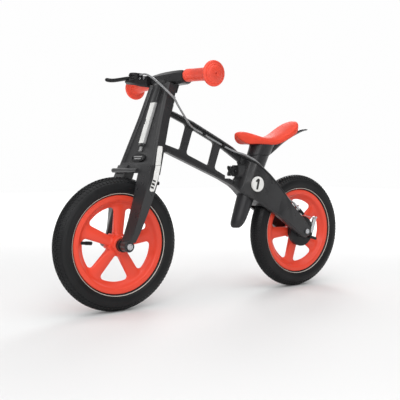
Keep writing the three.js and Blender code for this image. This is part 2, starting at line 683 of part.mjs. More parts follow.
function addFork() {
  add('fork_left', forkHalf(30), MATERIAL.nylon);
  add('fork_right', mirrorY(forkHalf(86)), MATERIAL.nylon);
  const spine = box(FORK_FRONT - PANEL_RECESS + GAP, FORK_FRONT + 0.8, -SPINE_HALF, SPINE_HALF, -165, -16);
  add('fork_spine', inSteerFrame(spine), MATERIAL.nylon);
  const boltHole = steerRod(-230, 0, STEER_BOLT_R + 0.3);
  const upper = crown(38, -42, -28.3).subtract(boltHole);
  const lower = crown(64.5, -199, -185).subtract(boltHole);
  add('upper_crown', inSteerFrame(upper), MATERIAL.black);
  add('lower_crown', inSteerFrame(lower), MATERIAL.black);
  const bolt = join(steerRod(-207, -22.5, STEER_BOLT_R), steerRod(-207, -199.4, 12));
  add('steering_bolt', inSteerFrame(bolt), MATERIAL.steel);
  const nut = steerRod(-28, -22, 12, 6).subtract(steerRod(-40, -10, STEER_BOLT_R + 0.2));
  add('steering_nut', inSteerFrame(nut), MATERIAL.steel);
  add('front_axle', disc(FRONT_AXLE, -62.5, 62.5, AXLE_R, 16), MATERIAL.steel);
  [['left', 1], ['right', -1]].forEach(([hand, sign]) => {
    const between = (a, b) => [Math.min(a * sign, b * sign), Math.max(a * sign, b * sign)];
    const roundNut = ring(FRONT_AXLE, ...between(60.3, 64), AXLE_R + 0.2, 7, 12);
    add(`front_axle_nut_${hand}`, roundNut, MATERIAL.steel);
    const spacer = ring(FRONT_AXLE, ...between(24.4, 36.6), AXLE_R + 0.2, 15, 16);
    add(`front_hub_spacer_${hand}`, spacer, MATERIAL.black);
    const rearBolt = rod(at(213.6, 72 * sign, 290), at(206, 72 * sign, 290), 4.5, 4.5, 12);
    add(`fork_bolt_${hand}`, rearBolt, MATERIAL.black);
  });
}

// ---------------------------------------------------------------- handlebar and lever
const BAR_AXIS = [BAR_X, BAR_Z];
// The moulded middle of the handlebar: [y, centre x, half depth, low z, high z, chamfer], right to left.
const BAR_CENTRE_STATIONS = [
  [-61.5, 129, 17, 522, 546, 5], [-30, 129, 20, 518, 547, 6], [0, 129, 21, 516, 547.5, 7],
  [28, 129, 20, 516, 547, 7], [43, 129, 18, 515.5, 546.5, 6], [56, 128.5, 17, 515, 546, 6],
  [66, 128, 16, 516.5, 545, 6], [69, 128, 15.3, 518, 544, 5.5],
];

// Turns a piece built round the straight bar down with one end of the bent bar; side is 1 or -1.
function drooped(shape, side) {
  const bend = side * BAR_BEND_Y;
  const turn = new THREE.Matrix4().makeTranslation(0, bend, BAR_Z)
    .multiply(new THREE.Matrix4().makeRotationX(-side * BAR_DROOP))
    .multiply(new THREE.Matrix4().makeTranslation(0, -bend, -BAR_Z));
  return placed(shape, turn);
}

function bentBar(r) {
  const overlap = 1;
  const left = disc(BAR_AXIS, BAR_BEND_Y - overlap, BAR_END, r, 20);
  return join(disc(BAR_AXIS, -BAR_BEND_Y, BAR_BEND_Y, r, 20), drooped(left, 1), drooped(mirrorY(left), -1));
}

function barCentre() {
  const beam = loft(BAR_CENTRE_STATIONS.map(([y, x, a, low, high, c]) => [
    at(x - a + c, y, low), at(x + a - c, y, low), at(x + a, y, low + c), at(x + a, y, high - c),
    at(x + a - c, y, high), at(x - a + c, y, high), at(x - a, y, high - c), at(x - a, y, low + c),
  ]), flatXZ);
  const forkTop = inSteerFrame(box(6, 60, -70, 70, -60, -11.6));
  const lug = inSteerFrame(box(-5, 24.8, -24, 24, -21.6, 4));
  return join(beam.subtract(forkTop), lug).subtract(bentBar(BAR_R + 0.2));
}

function grip(start) {
  const flange = GRIP_END - 12;
  const profile = [
    [BAR_R + 0.3, start], [GRIP_R, start], [GRIP_R, flange - 6], [GRIP_R + 2, flange - 1],
    [GRIP_FLANGE_R - 1, flange], [GRIP_FLANGE_R, flange + 4], [GRIP_FLANGE_R - 1.6, flange + 8],
    [16, GRIP_END - 1], [0, GRIP_END],
    [0, GRIP_END - 3.5], [BAR_R + 0.3, GRIP_END - 3.5], [BAR_R + 0.3, start],
  ];
  return turned(profile, BAR_AXIS, 24);
}

const LEVER_PIVOT = [160, -120];
const LEVER_LOW = 541;
const LEVER_HIGH = 550.5;
const SCREW_Z = 539.5;

function leverBracket() {
  // [y, rear x, front x, low z, high z]
  const stations = [
    [-138, 147, 176, 531, 540.4], [-112, 144.5, 178, 528, 540.4], [-92, 144, 174, 524, 540.4],
    [-84, 144, 168, 521, 545], [-62.5, 128, 157, 517.5, 545],
  ];
  const body = loft(stations.map(([y, rear, front, low, high]) => [
    at(rear, y, low), at(front - 5, y, low), at(front, y, low + 5), at(front, y, high - 2),
    at(front - 2, y, high), at(rear, y, high),
  ]), flatXZ);
  const clamp = drooped(ring(BAR_AXIS, -85, -63, BAR_R + 0.4, 15, 24), -1);
  const boss = box(156, 172, -97, -82.2, 540, 553);
  const barSpace = drooped(disc(BAR_AXIS, -100, -50, BAR_R + 0.4, 24), -1);
  return join(join(body, clamp).subtract(barSpace), boss);
}

function leverBlade() {
  const [x, y] = LEVER_PIVOT;
  const outline = new THREE.Shape();
  outline.moveTo(x + 12, y - 4);
  outline.quadraticCurveTo(x + 24, y - 26, x + 45.5, y - 63);
  outline.quadraticCurveTo(x + 45.5, y - 71, x + 38, y - 70.5);
  outline.quadraticCurveTo(x + 16, y - 37, x - 6, y - 11);
  outline.absarc(x, y, 12.5, THREE.MathUtils.degToRad(241), THREE.MathUtils.degToRad(-18), true);
  const options = { depth: LEVER_HIGH - LEVER_LOW, bevelEnabled: false, curveSegments: 6 };
  const geometry = new THREE.ExtrudeGeometry(outline, options);
  geometry.translate(0, 0, LEVER_LOW);
  const hole = rod(at(x, y, 530), at(x, y, 560), 4.3, 4.3, 14);
  return solid(geometry).subtract(hole);
}

function addHandlebar() {
  add('handlebar_tube', bentBar(BAR_R), MATERIAL.steel);
  add('handlebar_centre', barCentre(), MATERIAL.nylon);
  add('grip_left', drooped(grip(GRIP_START), 1), MATERIAL.orange);
  add('grip_right', drooped(mirrorY(grip(RIGHT_GRIP_START)), -1), MATERIAL.orange);
  add('lever_bracket', leverBracket(), MATERIAL.black);
  add('brake_lever', leverBlade(), MATERIAL.black);
  const [x, y] = LEVER_PIVOT;
  const stem = rod(at(x, y, 540.8), at(x, y, 552), 4, 4, 14);
  add('lever_pivot_cap', join(stem, rod(at(x, y, 551), at(x, y, 558), 14, 11, 24)), MATERIAL.black);
  [-77.8, -68].forEach((screwY, i) => {
    const front = 157 + 11 * ((-62.5 - screwY) / 21.5) + 1.6;
    const screw = rod(at(front, screwY, SCREW_Z), at(front + 1.8, screwY, SCREW_Z), 2.8, 2.8, 12);
    add(`lever_screw_${i + 1}`, screw, MATERIAL.steel);
  });
}

// The clips that hold the cable to the beam's web, at these [x, z].
const CLIP_SPOTS = [[38.8, 405.6], [-20, 378.9]];

function addCable() {
  add('brake_cable_loop', tube(toPoints(LOOP_ROUTE), CABLE_R, 30), MATERIAL.cable);
  add('brake_cable_frame', tube(toPoints(RAIL_ROUTE), CABLE_R, CABLE_STEPS), MATERIAL.cable);
  const halfLength = 4;
  const halfHeight = 3.6;
  CLIP_SPOTS.forEach(([x, z], i) => {
    const clip = box(x - halfLength, x + halfLength, WEB_HALF + 1.2, 11.7, z - halfHeight, z + halfHeight);
    add(`cable_clip_${i + 1}`, clip.subtract(cableGroove()), MATERIAL.black);
  });
}

// ---------------------------------------------------------------- assembly
addFrame();
addBrake();
addSeat();
addFork();
addHandlebar();
addCable();
addWheel('front', FRONT_AXLE, FRONT_SPOKE_ANGLE, 84.4, 24, 24);
addWheel('rear', REAR_AXLE, REAR_SPOKE_ANGLE, 56, 24, 24);
add('brake_drum', brakeDrum(), MATERIAL.black);

export default bike;
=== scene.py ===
"""A child's balance bike: moulded frame and fork, spoked wheels, padded saddle and a rear drum brake.

Lengths are millimetres in the making functions and metres on the finished meshes. X is forward, Y is the
rider's left, Z is up, and the origin is on the floor midway between the axles.
"""
import json
import math

import bmesh
import bpy
from mathutils import Matrix, Vector
from mathutils.geometry import delaunay_2d_cdt as cdt

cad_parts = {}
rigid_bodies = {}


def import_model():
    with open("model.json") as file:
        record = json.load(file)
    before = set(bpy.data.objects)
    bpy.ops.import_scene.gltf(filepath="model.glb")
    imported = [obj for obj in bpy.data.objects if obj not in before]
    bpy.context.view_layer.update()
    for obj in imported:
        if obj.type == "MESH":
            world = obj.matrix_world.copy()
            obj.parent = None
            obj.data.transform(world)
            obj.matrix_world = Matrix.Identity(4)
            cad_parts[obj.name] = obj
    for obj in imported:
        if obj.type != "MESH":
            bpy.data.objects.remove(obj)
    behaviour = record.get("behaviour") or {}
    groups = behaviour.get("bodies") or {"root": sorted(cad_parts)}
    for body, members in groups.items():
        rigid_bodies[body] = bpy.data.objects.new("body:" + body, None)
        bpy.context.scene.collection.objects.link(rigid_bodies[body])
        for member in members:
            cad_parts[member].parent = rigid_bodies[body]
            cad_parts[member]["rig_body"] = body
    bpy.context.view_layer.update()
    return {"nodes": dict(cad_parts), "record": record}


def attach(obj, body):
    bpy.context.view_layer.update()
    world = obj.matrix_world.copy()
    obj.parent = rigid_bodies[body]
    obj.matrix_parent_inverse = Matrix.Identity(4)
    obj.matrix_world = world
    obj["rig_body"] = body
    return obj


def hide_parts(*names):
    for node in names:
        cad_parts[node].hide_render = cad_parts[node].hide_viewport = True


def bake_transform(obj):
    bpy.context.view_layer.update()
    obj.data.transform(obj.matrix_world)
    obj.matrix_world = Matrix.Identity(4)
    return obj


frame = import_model()

MM = 0.001
WHEELBASE = 548.2
WHEEL_R = 152.0
FRONT_AXLE = (WHEELBASE / 2, WHEEL_R)
REAR_AXLE = (-WHEELBASE / 2, WHEEL_R)

TYRE_SECTION_R = 22.9
CARCASS_R = 21.2
SIDEWALL_R = 22.3
TYRE_WALL = 3.4
TREAD_PITCHES = 104

SPOKES = 5
SPOKE_HALF_ANGLE = 11.5
WINDOW_OUTER_R = 85.0
WINDOW_CORNER_R = 8.0
WINDOW_ROUNDING = 4.6
WINDOW_APEX_R = 32.4
CORNER_STEPS = 8
CORNER_SWEEP = 0.5

STEER_LEAN = 0.34
STEER_TOP = (124.0, 520.0)
BAR_AXIS = (128.0, 535.5)
BAR_BEND_Y = 40.0
BAR_DROOP = 0.072

ORANGE = (0.83, 0.07, 0.035)
NYLON = (0.027, 0.027, 0.0285)
BLACK = (0.011, 0.011, 0.012)
TYRE = (0.0105, 0.0108, 0.0115)
STEEL = (0.62, 0.63, 0.65)
CASING = (0.24, 0.245, 0.25)
WHITE = (0.80, 0.80, 0.78)
TAN = (0.62, 0.59, 0.53)
BACKDROP = (-0.57, -0.82, -0.06)
BACKDROP_STARTS = 0.35
BACKDROP_FULL = 0.8
BACKDROP_STRENGTH = 0.99
ROOM_STRENGTH = 0.22
OVERHEAD_FROM = (0.12, 0.3, 1.0)
OVERHEAD_POWER = 2.1
OVERHEAD_SPREAD = 1.3


# ------------------------------------------------------------------ materials
def shader_nodes(name):
    material = bpy.data.materials.new(name)
    material.use_nodes = True
    nodes = material.node_tree.nodes
    shader = nodes["Principled BSDF"]
    place = nodes.new("ShaderNodeTexCoord")
    return material, nodes, material.node_tree.links, shader, place.outputs["Object"]


def noise(nodes, links, place, scale, detail=3.0):
    node = nodes.new("ShaderNodeTexNoise")
    node.inputs["Scale"].default_value = scale
    node.inputs["Detail"].default_value = detail
    links.new(place, node.inputs["Vector"])
    return node.outputs["Fac"]


NOISE_LOW = 0.3
NOISE_HIGH = 0.7


def spread(nodes, links, value, low, high):
    """Takes a noise value to the range from low to high."""
    node = nodes.new("ShaderNodeMapRange")
    node.inputs["From Min"].default_value = NOISE_LOW
    node.inputs["From Max"].default_value = NOISE_HIGH
    node.inputs["To Min"].default_value = low
    node.inputs["To Max"].default_value = high
    links.new(value, node.inputs["Value"])
    return node.outputs["Result"]


def two_colours(nodes, links, value, dark, light):
    ramp = nodes.new("ShaderNodeValToRGB")
    ramp.color_ramp.elements[0].position = 0.35
    ramp.color_ramp.elements[0].color = (*dark, 1)
    ramp.color_ramp.elements[1].position = 0.65
    ramp.color_ramp.elements[1].color = (*light, 1)
    links.new(value, ramp.inputs["Fac"])
    return ramp.outputs["Color"]


def bumps(nodes, links, shader, height, strength, distance):
    node = nodes.new("ShaderNodeBump")
    node.inputs["Strength"].default_value = strength
    node.inputs["Distance"].default_value = distance
    links.new(height, node.inputs["Height"])
    links.new(node.outputs["Normal"], shader.inputs["Normal"])


def shade(colour, factor):
    return tuple(min(1.0, c * factor) for c in colour)


def moulded(name, colour, rough, grain=0.12, grain_scale=900.0, vary=0.12, specular=0.5):
    """Moulded plastic: faint flow marks in the colour, and a fine even grain."""
    material, nodes, links, shader, place = shader_nodes(name)
    flow = noise(nodes, links, place, 9.0, 4.0)
    base = two_colours(nodes, links, flow, shade(colour, 1 - vary), shade(colour, 1 + vary))
    links.new(base, shader.inputs["Base Color"])
    blotches = noise(nodes, links, place, 38.0)
    links.new(spread(nodes, links, blotches, rough - 0.06, rough + 0.06), shader.inputs["Roughness"])
    shader.inputs["Specular IOR Level"].default_value = specular
    bumps(nodes, links, shader, noise(nodes, links, place, grain_scale, 2.0), grain, 0.0004)
    return material


def rubber(name, colour, rough, grain=0.25, sheen=0.15, specular=0.5):
    """Rubber: dull, with a fine pebble and a little dust in the lows."""
    material, nodes, links, shader, place = shader_nodes(name)
    dust = noise(nodes, links, place, 16.0, 6.0)
    base = two_colours(nodes, links, dust, shade(colour, 0.85), shade(colour, 1.35))
    links.new(base, shader.inputs["Base Color"])
    links.new(spread(nodes, links, noise(nodes, links, place, 60.0), rough - 0.08, rough + 0.06),
              shader.inputs["Roughness"])
    shader.inputs["Specular IOR Level"].default_value = specular
    shader.inputs["Sheen Weight"].default_value = sheen
    shader.inputs["Sheen Roughness"].default_value = 0.45
    bumps(nodes, links, shader, noise(nodes, links, place, 700.0, 2.0), grain, 0.0005)
    return material


def soft_skin(name, colour):
    """The saddle's foam skin: pebbled leather grain with small wandering creases."""
    material, nodes, links, shader, place = shader_nodes(name)
    tone = noise(nodes, links, place, 14.0, 5.0)
    base = two_colours(nodes, links, tone, shade(colour, 0.9), shade(colour, 1.06))
    links.new(base, shader.inputs["Base Color"])
    cells = nodes.new("ShaderNodeTexVoronoi")
    cells.feature = "DISTANCE_TO_EDGE"
    cells.inputs["Scale"].default_value = 520.0
    links.new(place, cells.inputs["Vector"])
    links.new(spread(nodes, links, noise(nodes, links, place, 45.0), 0.5, 0.58), shader.inputs["Roughness"])
    shader.inputs["Specular IOR Level"].default_value = 0.22
    bumps(nodes, links, shader, cells.outputs["Distance"], 0.05, 0.0002)
    return material


def metal(name, colour, rough):
    """Plated steel: fine grain and small changes in polish."""
    material, nodes, links, shader, place = shader_nodes(name)
    lines = noise(nodes, links, place, 420.0, 4.0)
    base = two_colours(nodes, links, lines, shade(colour, 0.86), colour)
    links.new(base, shader.inputs["Base Color"])
    shader.inputs["Metallic"].default_value = 1.0
    links.new(spread(nodes, links, lines, rough - 0.07, rough + 0.1), shader.inputs["Roughness"])
    bumps(nodes, links, shader, lines, 0.08, 0.0002)
    return material


def vinyl(name, colour):
    """A printed vinyl sticker: nearly flat, a little uneven in its gloss."""
    material, nodes, links, shader, place = shader_nodes(name)
    tone = noise(nodes, links, place, 60.0, 3.0)
    base = two_colours(nodes, links, tone, shade(colour, 0.94), colour)
    links.new(base, shader.inputs["Base Color"])
    links.new(spread(nodes, links, noise(nodes, links, place, 220.0), 0.28, 0.42), shader.inputs["Roughness"])
    bumps(nodes, links, shader, noise(nodes, links, place, 1500.0), 0.05, 0.0002)
    return material


MATERIALS = {
    "frame_nylon": moulded("nylon", NYLON, 0.31, specular=0.4),
    "black_plastic": moulded("black_plastic", BLACK, 0.34, specular=0.25),
    "rubber_black": rubber("black_rubber", BLACK, 0.6, sheen=0.02, specular=0.2),
    "saddle_shell_plastic": moulded("shell_plastic", (0.024, 0.024, 0.026), 0.36, specular=0.3),
    "orange_pad": soft_skin("saddle_skin", ORANGE),
    "orange_plastic": moulded("orange_plastic", ORANGE, 0.36, 0.06, 700.0, 0.04, specular=0.4),
    "orange_rubber": rubber("orange_rubber", (0.80, 0.07, 0.038), 0.44, 0.12, 0.02, specular=0.4),
    "tyre_rubber": rubber("tyre_rubber", TYRE, 0.44, 0.12, sheen=0.0, specular=0.22),
    "cable_casing": moulded("casing", CASING, 0.3, 0.05),
    "steel": metal("plated_steel", STEEL, 0.28),
}
STICKER_WHITE = vinyl("sticker_white", WHITE)
STICKER_INK = vinyl("sticker_ink", (0.012, 0.012, 0.012))
# A grey vinyl: print on the badge's bars, and painted shade on the side of the spine label.
PAINTED_SHADE_AND_PRINT_GREY = vinyl("grey_for_print_and_painted_shade", (0.30, 0.30, 0.30))
BEAD_TAN = vinyl("bead_tan", TAN)


# ------------------------------------------------------------------ mesh helpers
NODE_SLOT = {row["node"]: row["material_slot"] for row in frame["record"]["subparts"]}
BEVEL_FROM_ANGLE = 30.0
MERGE_WITHIN = 0.02
FLAT_WITHIN = 1.5


def piece(name, bm, body, slot, replaced=(), material=None, smooth_angle=35.0):
    """Makes the object from a mesh in millimetres, smooth except at sharp edges, on its body."""
    bmesh.ops.recalc_face_normals(bm, faces=bm.faces)
    bmesh.ops.scale(bm, vec=(MM, MM, MM), verts=bm.verts)
    mesh = bpy.data.meshes.new(name)
    bm.to_mesh(mesh)
    bm.free()
    obj = bpy.data.objects.new(name, mesh)
    bpy.context.scene.collection.objects.link(obj)
    mesh.materials.append(material or MATERIALS[slot])
    smooth(mesh, smooth_angle)
    if body:
        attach(obj, body)
    if replaced:
        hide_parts(*replaced)
    return obj


def smooth(mesh, angle):
    mesh.shade_smooth()
    mesh.set_sharp_from_angle(angle=math.radians(angle))


def bevel(obj, width, segments):
    modifier = obj.modifiers.new("rounded_edges", "BEVEL")
    modifier.width = width * MM
    modifier.segments = segments
    modifier.limit_method = "ANGLE"
    modifier.angle_limit = math.radians(BEVEL_FROM_ANGLE)
    modifier.harden_normals = True


def loop(bm, points):
    return [bm.verts.new(p) for p in points]


def skin(bm, a, b):
    """A band of faces between two closed loops of equally many vertices."""
    for i, here in enumerate(a):
        bm.faces.new((a[i - 1], here, b[i], b[i - 1]))


def turns_of(steps):
    return [2 * math.pi * i / steps for i in range(steps)]


def around(axle, r, y, steps):
    x, z = axle
    return [(x + r * math.sin(a), y, z + r * math.cos(a)) for a in turns_of(steps)]


def revolve(bm, profile, axle, steps):
    """A closed ring about the Y direction, from a closed profile of (radius, y) pairs."""
    loops = [loop(bm, around(axle, r, y, steps)) for r, y in profile]
    for i in range(len(loops)):
        skin(bm, loops[i - 1], loops[i])


def revolve_disc(bm, profile, axle, steps):
    """A body of revolution about the Y direction whose open profile starts and ends near the axis."""
    loops = [loop(bm, around(axle, r, y, steps)) for r, y in profile]
    for a, b in zip(loops, loops[1:]):
        skin(bm, a, b)
    bm.faces.new(loops[0])
    bm.faces.new(loops[-1])


def loft(bm, rings):
    loops = [loop(bm, ring) for ring in rings]
    for a, b in zip(loops, loops[1:]):
        skin(bm, a, b)
    bm.faces.new(loops[0])
    bm.faces.new(loops[-1])


def refined(node, width, segments):
    """The CAD node's shape with clean faces and rounded edges."""
    bm = bmesh.new()
    bm.from_mesh(frame["nodes"][node].data)
    bmesh.ops.remove_doubles(bm, verts=bm.verts, dist=MERGE_WITHIN * MM)
    bmesh.ops.dissolve_limit(bm, angle_limit=math.radians(FLAT_WITHIN), verts=bm.verts, edges=bm.edges)
    bmesh.ops.scale(bm, vec=(1 / MM, 1 / MM, 1 / MM), verts=bm.verts)
    body = frame["nodes"][node]["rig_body"]
    bevel(piece(f"{node}_shaped", bm, body, NODE_SLOT[node], (node,)), width, segments)


def dress_cad_nodes():
    for node, obj in frame["nodes"].items():
        obj.data.materials.clear()
        obj.data.materials.append(MATERIALS[NODE_SLOT[node]])


# ------------------------------------------------------------------ tyres
TYRE_SIDES = 144
CARCASS_STEPS = 34
CARCASS_STEP_DEG = 4.1
UNDER_TREAD_STEPS = 15
RIDGE_HEIGHT = 0.35
RIDGE_STEPS = (20, 24, 28)
BORE_STEPS = 14
BORE_STEP_DEG = 10


def tyre_point(axle, turn, lean, r):
    """A point of the tyre: turn about the axle, lean from the crown round the section, section radius r."""
    x, z = axle
    radial = WHEEL_R - TYRE_SECTION_R + r * math.cos(lean)
    return (x + radial * math.sin(turn), r * math.sin(lean), z + radial * math.cos(turn))


def carcass_profile():
    """Section points as (radius, y): outer skin from bead to bead, then back inside."""
    centre = WHEEL_R - TYRE_SECTION_R
    outer = []
    for i in range(-CARCASS_STEPS, CARCASS_STEPS + 1):
        lean = math.radians(CARCASS_STEP_DEG * i)
        r = CARCASS_R if abs(i) <= UNDER_TREAD_STEPS else SIDEWALL_R
        ridge = RIDGE_HEIGHT if abs(i) in RIDGE_STEPS else 0.0
        outer.append((centre + (r + ridge) * math.cos(lean), (r + ridge) * math.sin(lean)))
    inner_r = SIDEWALL_R - TYRE_WALL
    inner = []
    for i in range(BORE_STEPS, -BORE_STEPS - 1, -1):
        lean = math.radians(BORE_STEP_DEG * i)
        inner.append((centre + inner_r * math.cos(lean), inner_r * math.sin(lean)))
    return outer + inner


TREAD_ROWS = [  # lean of the row's middle and half its width in degrees, half length over pitch, top radius
    (0.0, 5.4, 0.34, 22.9), (14.0, 5.4, 0.32, 22.88), (28.0, 5.4, 0.32, 22.85), (47.0, 10.5, 0.27, 22.7),
]


def tread_block(bm, axle, turn, half_turn, lean, half_lean, top):
    base = [(-1, -1), (1, -1), (1, 1), (-1, 1)]
    low = [tyre_point(axle, turn + s * half_turn, lean + t * half_lean, CARCASS_R - 0.4) for s, t in base]
    high = [tyre_point(axle, turn + 0.8 * s * half_turn, lean + 0.84 * t * half_lean, top) for s, t in base]
    loft(bm, [low, high])


def add_tyre(side, axle):
    bm = bmesh.new()
    revolve(bm, carcass_profile(), axle, TYRE_SIDES)
    pitch = 2 * math.pi / TREAD_PITCHES
    for row, (lean, half_lean, share, top) in enumerate(TREAD_ROWS):
        for sign in ((1,) if lean == 0 else (1, -1)):
            for k in range(TREAD_PITCHES):
                turn = pitch * (k + 0.5 * (row % 2))
                middle = math.radians(lean * sign)
                tread_block(bm, axle, turn, pitch * share, middle, math.radians(half_lean), top)
    nodes = (f"{side}_tyre",)
    piece(f"{side}_tyre_treaded", bm, f"{side}_wheel", "tyre_rubber", nodes)
    line = bmesh.new()
    for sign in (1, -1):
        centre = WHEEL_R - TYRE_SECTION_R
        corners = [(126.5, 22.0), (126.5, 22.75), (130.0, 22.75), (130.0, 22.0)]
        profile = []
        for degrees, r in corners:
            lean = math.radians(degrees)
            profile.append((centre + r * math.cos(lean), sign * r * math.sin(lean)))
        revolve(line, profile, axle, TYRE_SIDES)
    piece(f"{side}_tyre_line", line, f"{side}_wheel", "tyre_rubber", material=BEAD_TAN)


# ------------------------------------------------------------------ rims
def window_core():
    """Corner points of a window before its corners are rounded, in the window's own radial frame."""
    half = math.radians(180 / SPOKES - SPOKE_HALF_ANGLE)
    outer_r = WINDOW_OUTER_R - WINDOW_CORNER_R
    edge = half - WINDOW_CORNER_R / outer_r
    arc = [edge * (1 - 2 * i / CORNER_STEPS) for i in range(CORNER_STEPS + 1)]
    return [(WINDOW_APEX_R, 0.0)] + [(outer_r * math.cos(a), outer_r * math.sin(-a)) for a in arc]


def rounded_loop(core, radius):
    """The outline at one distance outside a convex core, corners as arcs."""
    count = len(core)
    points = []
    for i, here in enumerate(core):
        before = core[i - 1]
        after = core[(i + 1) % count]
        n0 = math.atan2(-(here[0] - before[0]), here[1] - before[1])
        n1 = math.atan2(-(after[0] - here[0]), after[1] - here[1])
        sweep = (n1 - n0 + math.pi) % (2 * math.pi) - math.pi
        bends = CORNER_STEPS if abs(sweep) > CORNER_SWEEP else 1
        for k in range(bends + 1):
            a = n0 + sweep * k / bends
            points.append((here[0] + radius * math.cos(a), here[1] + radius * math.sin(a)))
    return points


def core_distance(core, point):
    """Distance from the core's outline, negative inside."""
    best = math.inf
    inside = True
    for i, a in enumerate(core):
        b = core[(i + 1) % len(core)]
        ab = Vector(b) - Vector(a)
        ap = Vector(point) - Vector(a)
        t = max(0.0, min(1.0, ap.dot(ab) / ab.length_squared))
        best = min(best, (ap - ab * t).length)
        if ab.x * ap.y - ab.y * ap.x < 0:
            inside = False
    return -best if inside else best


def dish(r):
    """Half thickness of the spokes' disc at a radius: proud at the hub, thin where it meets the rim."""
    stops = [(20.0, 13.4), (30.0, 11.8), (45.0, 9.4), (65.0, 7.2), (80.0, 5.4), (90.0, 4.6)]
    for (r0, h0), (r1, h1) in zip(stops, stops[1:]):
        if r <= r1:
            t = max(0.0, (r - r0) / (r1 - r0))
            return h0 + (h1 - h0) * t
    return stops[-1][1]


def wheel_angles(first_spoke):
    return [math.radians(first_spoke + (i + 0.5) * 360 / SPOKES) for i in range(SPOKES)]


def into_wheel(u, v, angle):
    """From a window's radial frame to the wheel's X and Z."""
    return (u * math.sin(angle) + v * math.cos(angle), u * math.cos(angle) - v * math.sin(angle))


def into_window(x, z, angle):
    return (x * math.sin(angle) + z * math.cos(angle), x * math.cos(angle) - z * math.sin(angle))


DISH_OUTER_R = 88.5
HUB_R = 21.0
RIM_STEPS = 120
HUB_STEPS = 48
ROUND_STEPS = 5
SHEET_SPACING = 4.0
SHEET_CLEAR = 1.6
EDGE_FALL = 2.4
EDGE_REACH = 4.5


def spoke_sheet(angles):
    """A flat triangulation between hub and rim, leaving out the windows and their rounded edges."""
    core = window_core()
    points = []
    edges = []

    def add_loop(loop_points):
        first = len(points)
        points.extend(Vector(p) for p in loop_points)
        count = len(loop_points)
        edges.extend((first + i, first + (i + 1) % count) for i in range(count))
        return list(range(first, first + count))

    circle = around((0, 0), DISH_OUTER_R, 0, RIM_STEPS)
    outer = add_loop([(x, z) for x, _, z in circle])
    inner = add_loop([(x, z) for x, _, z in around((0, 0), HUB_R, 0, HUB_STEPS)])
    edge_outline = rounded_loop(core, WINDOW_CORNER_R + WINDOW_ROUNDING)
    windows = [add_loop([into_wheel(u, v, a) for u, v in edge_outline]) for a in angles]
    r = HUB_R + SHEET_SPACING
    while r < DISH_OUTER_R - 2:
        count = int(2 * math.pi * r / SHEET_SPACING)
        for x, _, z in around((0, 0), r, 0, count):
            away = min(core_distance(core, into_window(x, z, a)) for a in angles)
            if away > WINDOW_CORNER_R + WINDOW_ROUNDING + SHEET_CLEAR:
                points.append(Vector((x, z)))
        r += SHEET_SPACING
    made = cdt(points, edges, [], 0, 1e-6)
    kept = []
    for face in made[2]:
        middle = sum((made[0][i] for i in face), Vector((0, 0))) / len(face)
        away = min(core_distance(core, into_window(middle.x, middle.y, a)) for a in angles)
        if away > WINDOW_CORNER_R + WINDOW_ROUNDING - 0.02 and middle.length > HUB_R * 0.996:
            kept.append(face)
    source = {}
    for made_index, origins in enumerate(made[3]):
        for origin in origins:
            source[origin] = made_index
    return made[0], kept, outer, inner, windows, source


def crowned(core, angles, x, z):
    """Half thickness at a point of the disc, falling a little towards the windows."""
    away = min(core_distance(core, into_window(x, z, a)) for a in angles) - WINDOW_CORNER_R - WINDOW_ROUNDING
    r = math.hypot(x, z)
    return dish(r) - EDGE_FALL * math.exp(-max(0.0, away) / EDGE_REACH)


def rim_face(bm, axle, sheet, core, angles, side):
    """One face of the spoked disc, with the edges of its windows rolled in; returns its open loops."""
    flat, faces, outer, inner, windows, source = sheet
    cx, cz = axle
    verts = [bm.verts.new((cx + p.x, side * crowned(core, angles, p.x, p.y), cz + p.y)) for p in flat]
    for face in faces:
        bm.faces.new([verts[i] for i in face])
    lips = []
    for window, angle in zip(windows, angles):
        last = [verts[source[i]] for i in window]
        for k in range(1, ROUND_STEPS + 1):
            bend = math.pi / 2 * k / ROUND_STEPS
            away = WINDOW_CORNER_R + WINDOW_ROUNDING * (1 - math.sin(bend))
            drop = WINDOW_ROUNDING * (1 - math.cos(bend)) * 0.95
            outline = [into_wheel(u, v, angle) for u, v in rounded_loop(core, away)]
            heights = [max(0.3, crowned(core, angles, x, z) - drop) for x, z in outline]
            ring = loop(bm, [(cx + x, side * h, cz + z) for (x, z), h in zip(outline, heights)])
            skin(bm, last, ring)
            last = ring
        lips.append(last)
    return [verts[source[i]] for i in outer], [verts[source[i]] for i in inner], lips


RIM_PROFILE = [  # radius, distance from the wheel's middle: from the disc out to the lip and into the well
    (91.6, 5.2), (94.2, 7.2), (97.2, 12.0), (98.8, 14.0), (100.4, 14.8), (104, 15.1), (109.2, 15.25),
    (110.8, 14.9), (111.5, 13.9), (111.5, 12.4), (110.2, 11.8), (104.5, 11.2), (103, 9.5),
]
HUB_PROFILE = [
    (20.0, 14.2), (19.4, 16.0), (18.8, 22.6), (17.9, 23.7), (16.4, 24.0), (11.0, 24.0), (9.9, 23.3),
]
BOSS_PROFILE = [
    (0.6, -14.5), (3.4, -14.3), (4.6, -13.2), (4.8, -12), (4.8, 12), (4.6, 12.4), (3.4, 12.6), (0.6, 12.7),
]
BOSS_CIRCLE_R = 22.5


def add_rim(side, axle, first_spoke):
    angles = wheel_angles(first_spoke)
    core = window_core()
    sheet = spoke_sheet(angles)
    bm = bmesh.new()
    left = rim_face(bm, axle, sheet, core, angles, 1)
    right = rim_face(bm, axle, sheet, core, angles, -1)
    for a, b in zip(left[2], right[2]):
        skin(bm, a, b)
    for profile, index, steps in ((RIM_PROFILE, 0, RIM_STEPS), (HUB_PROFILE, 1, HUB_STEPS)):
        near = left[index]
        far = right[index]
        for r, y in profile:
            next_near = loop(bm, around(axle, r, y, steps))
            next_far = loop(bm, around(axle, r, -y, steps))
            skin(bm, near, next_near)
            skin(bm, far, next_far)
            near, far = next_near, next_far
        skin(bm, near, far)
    piece(f"{side}_rim_moulded", bm, f"{side}_wheel", "orange_plastic", (f"{side}_rim",), smooth_angle=50)


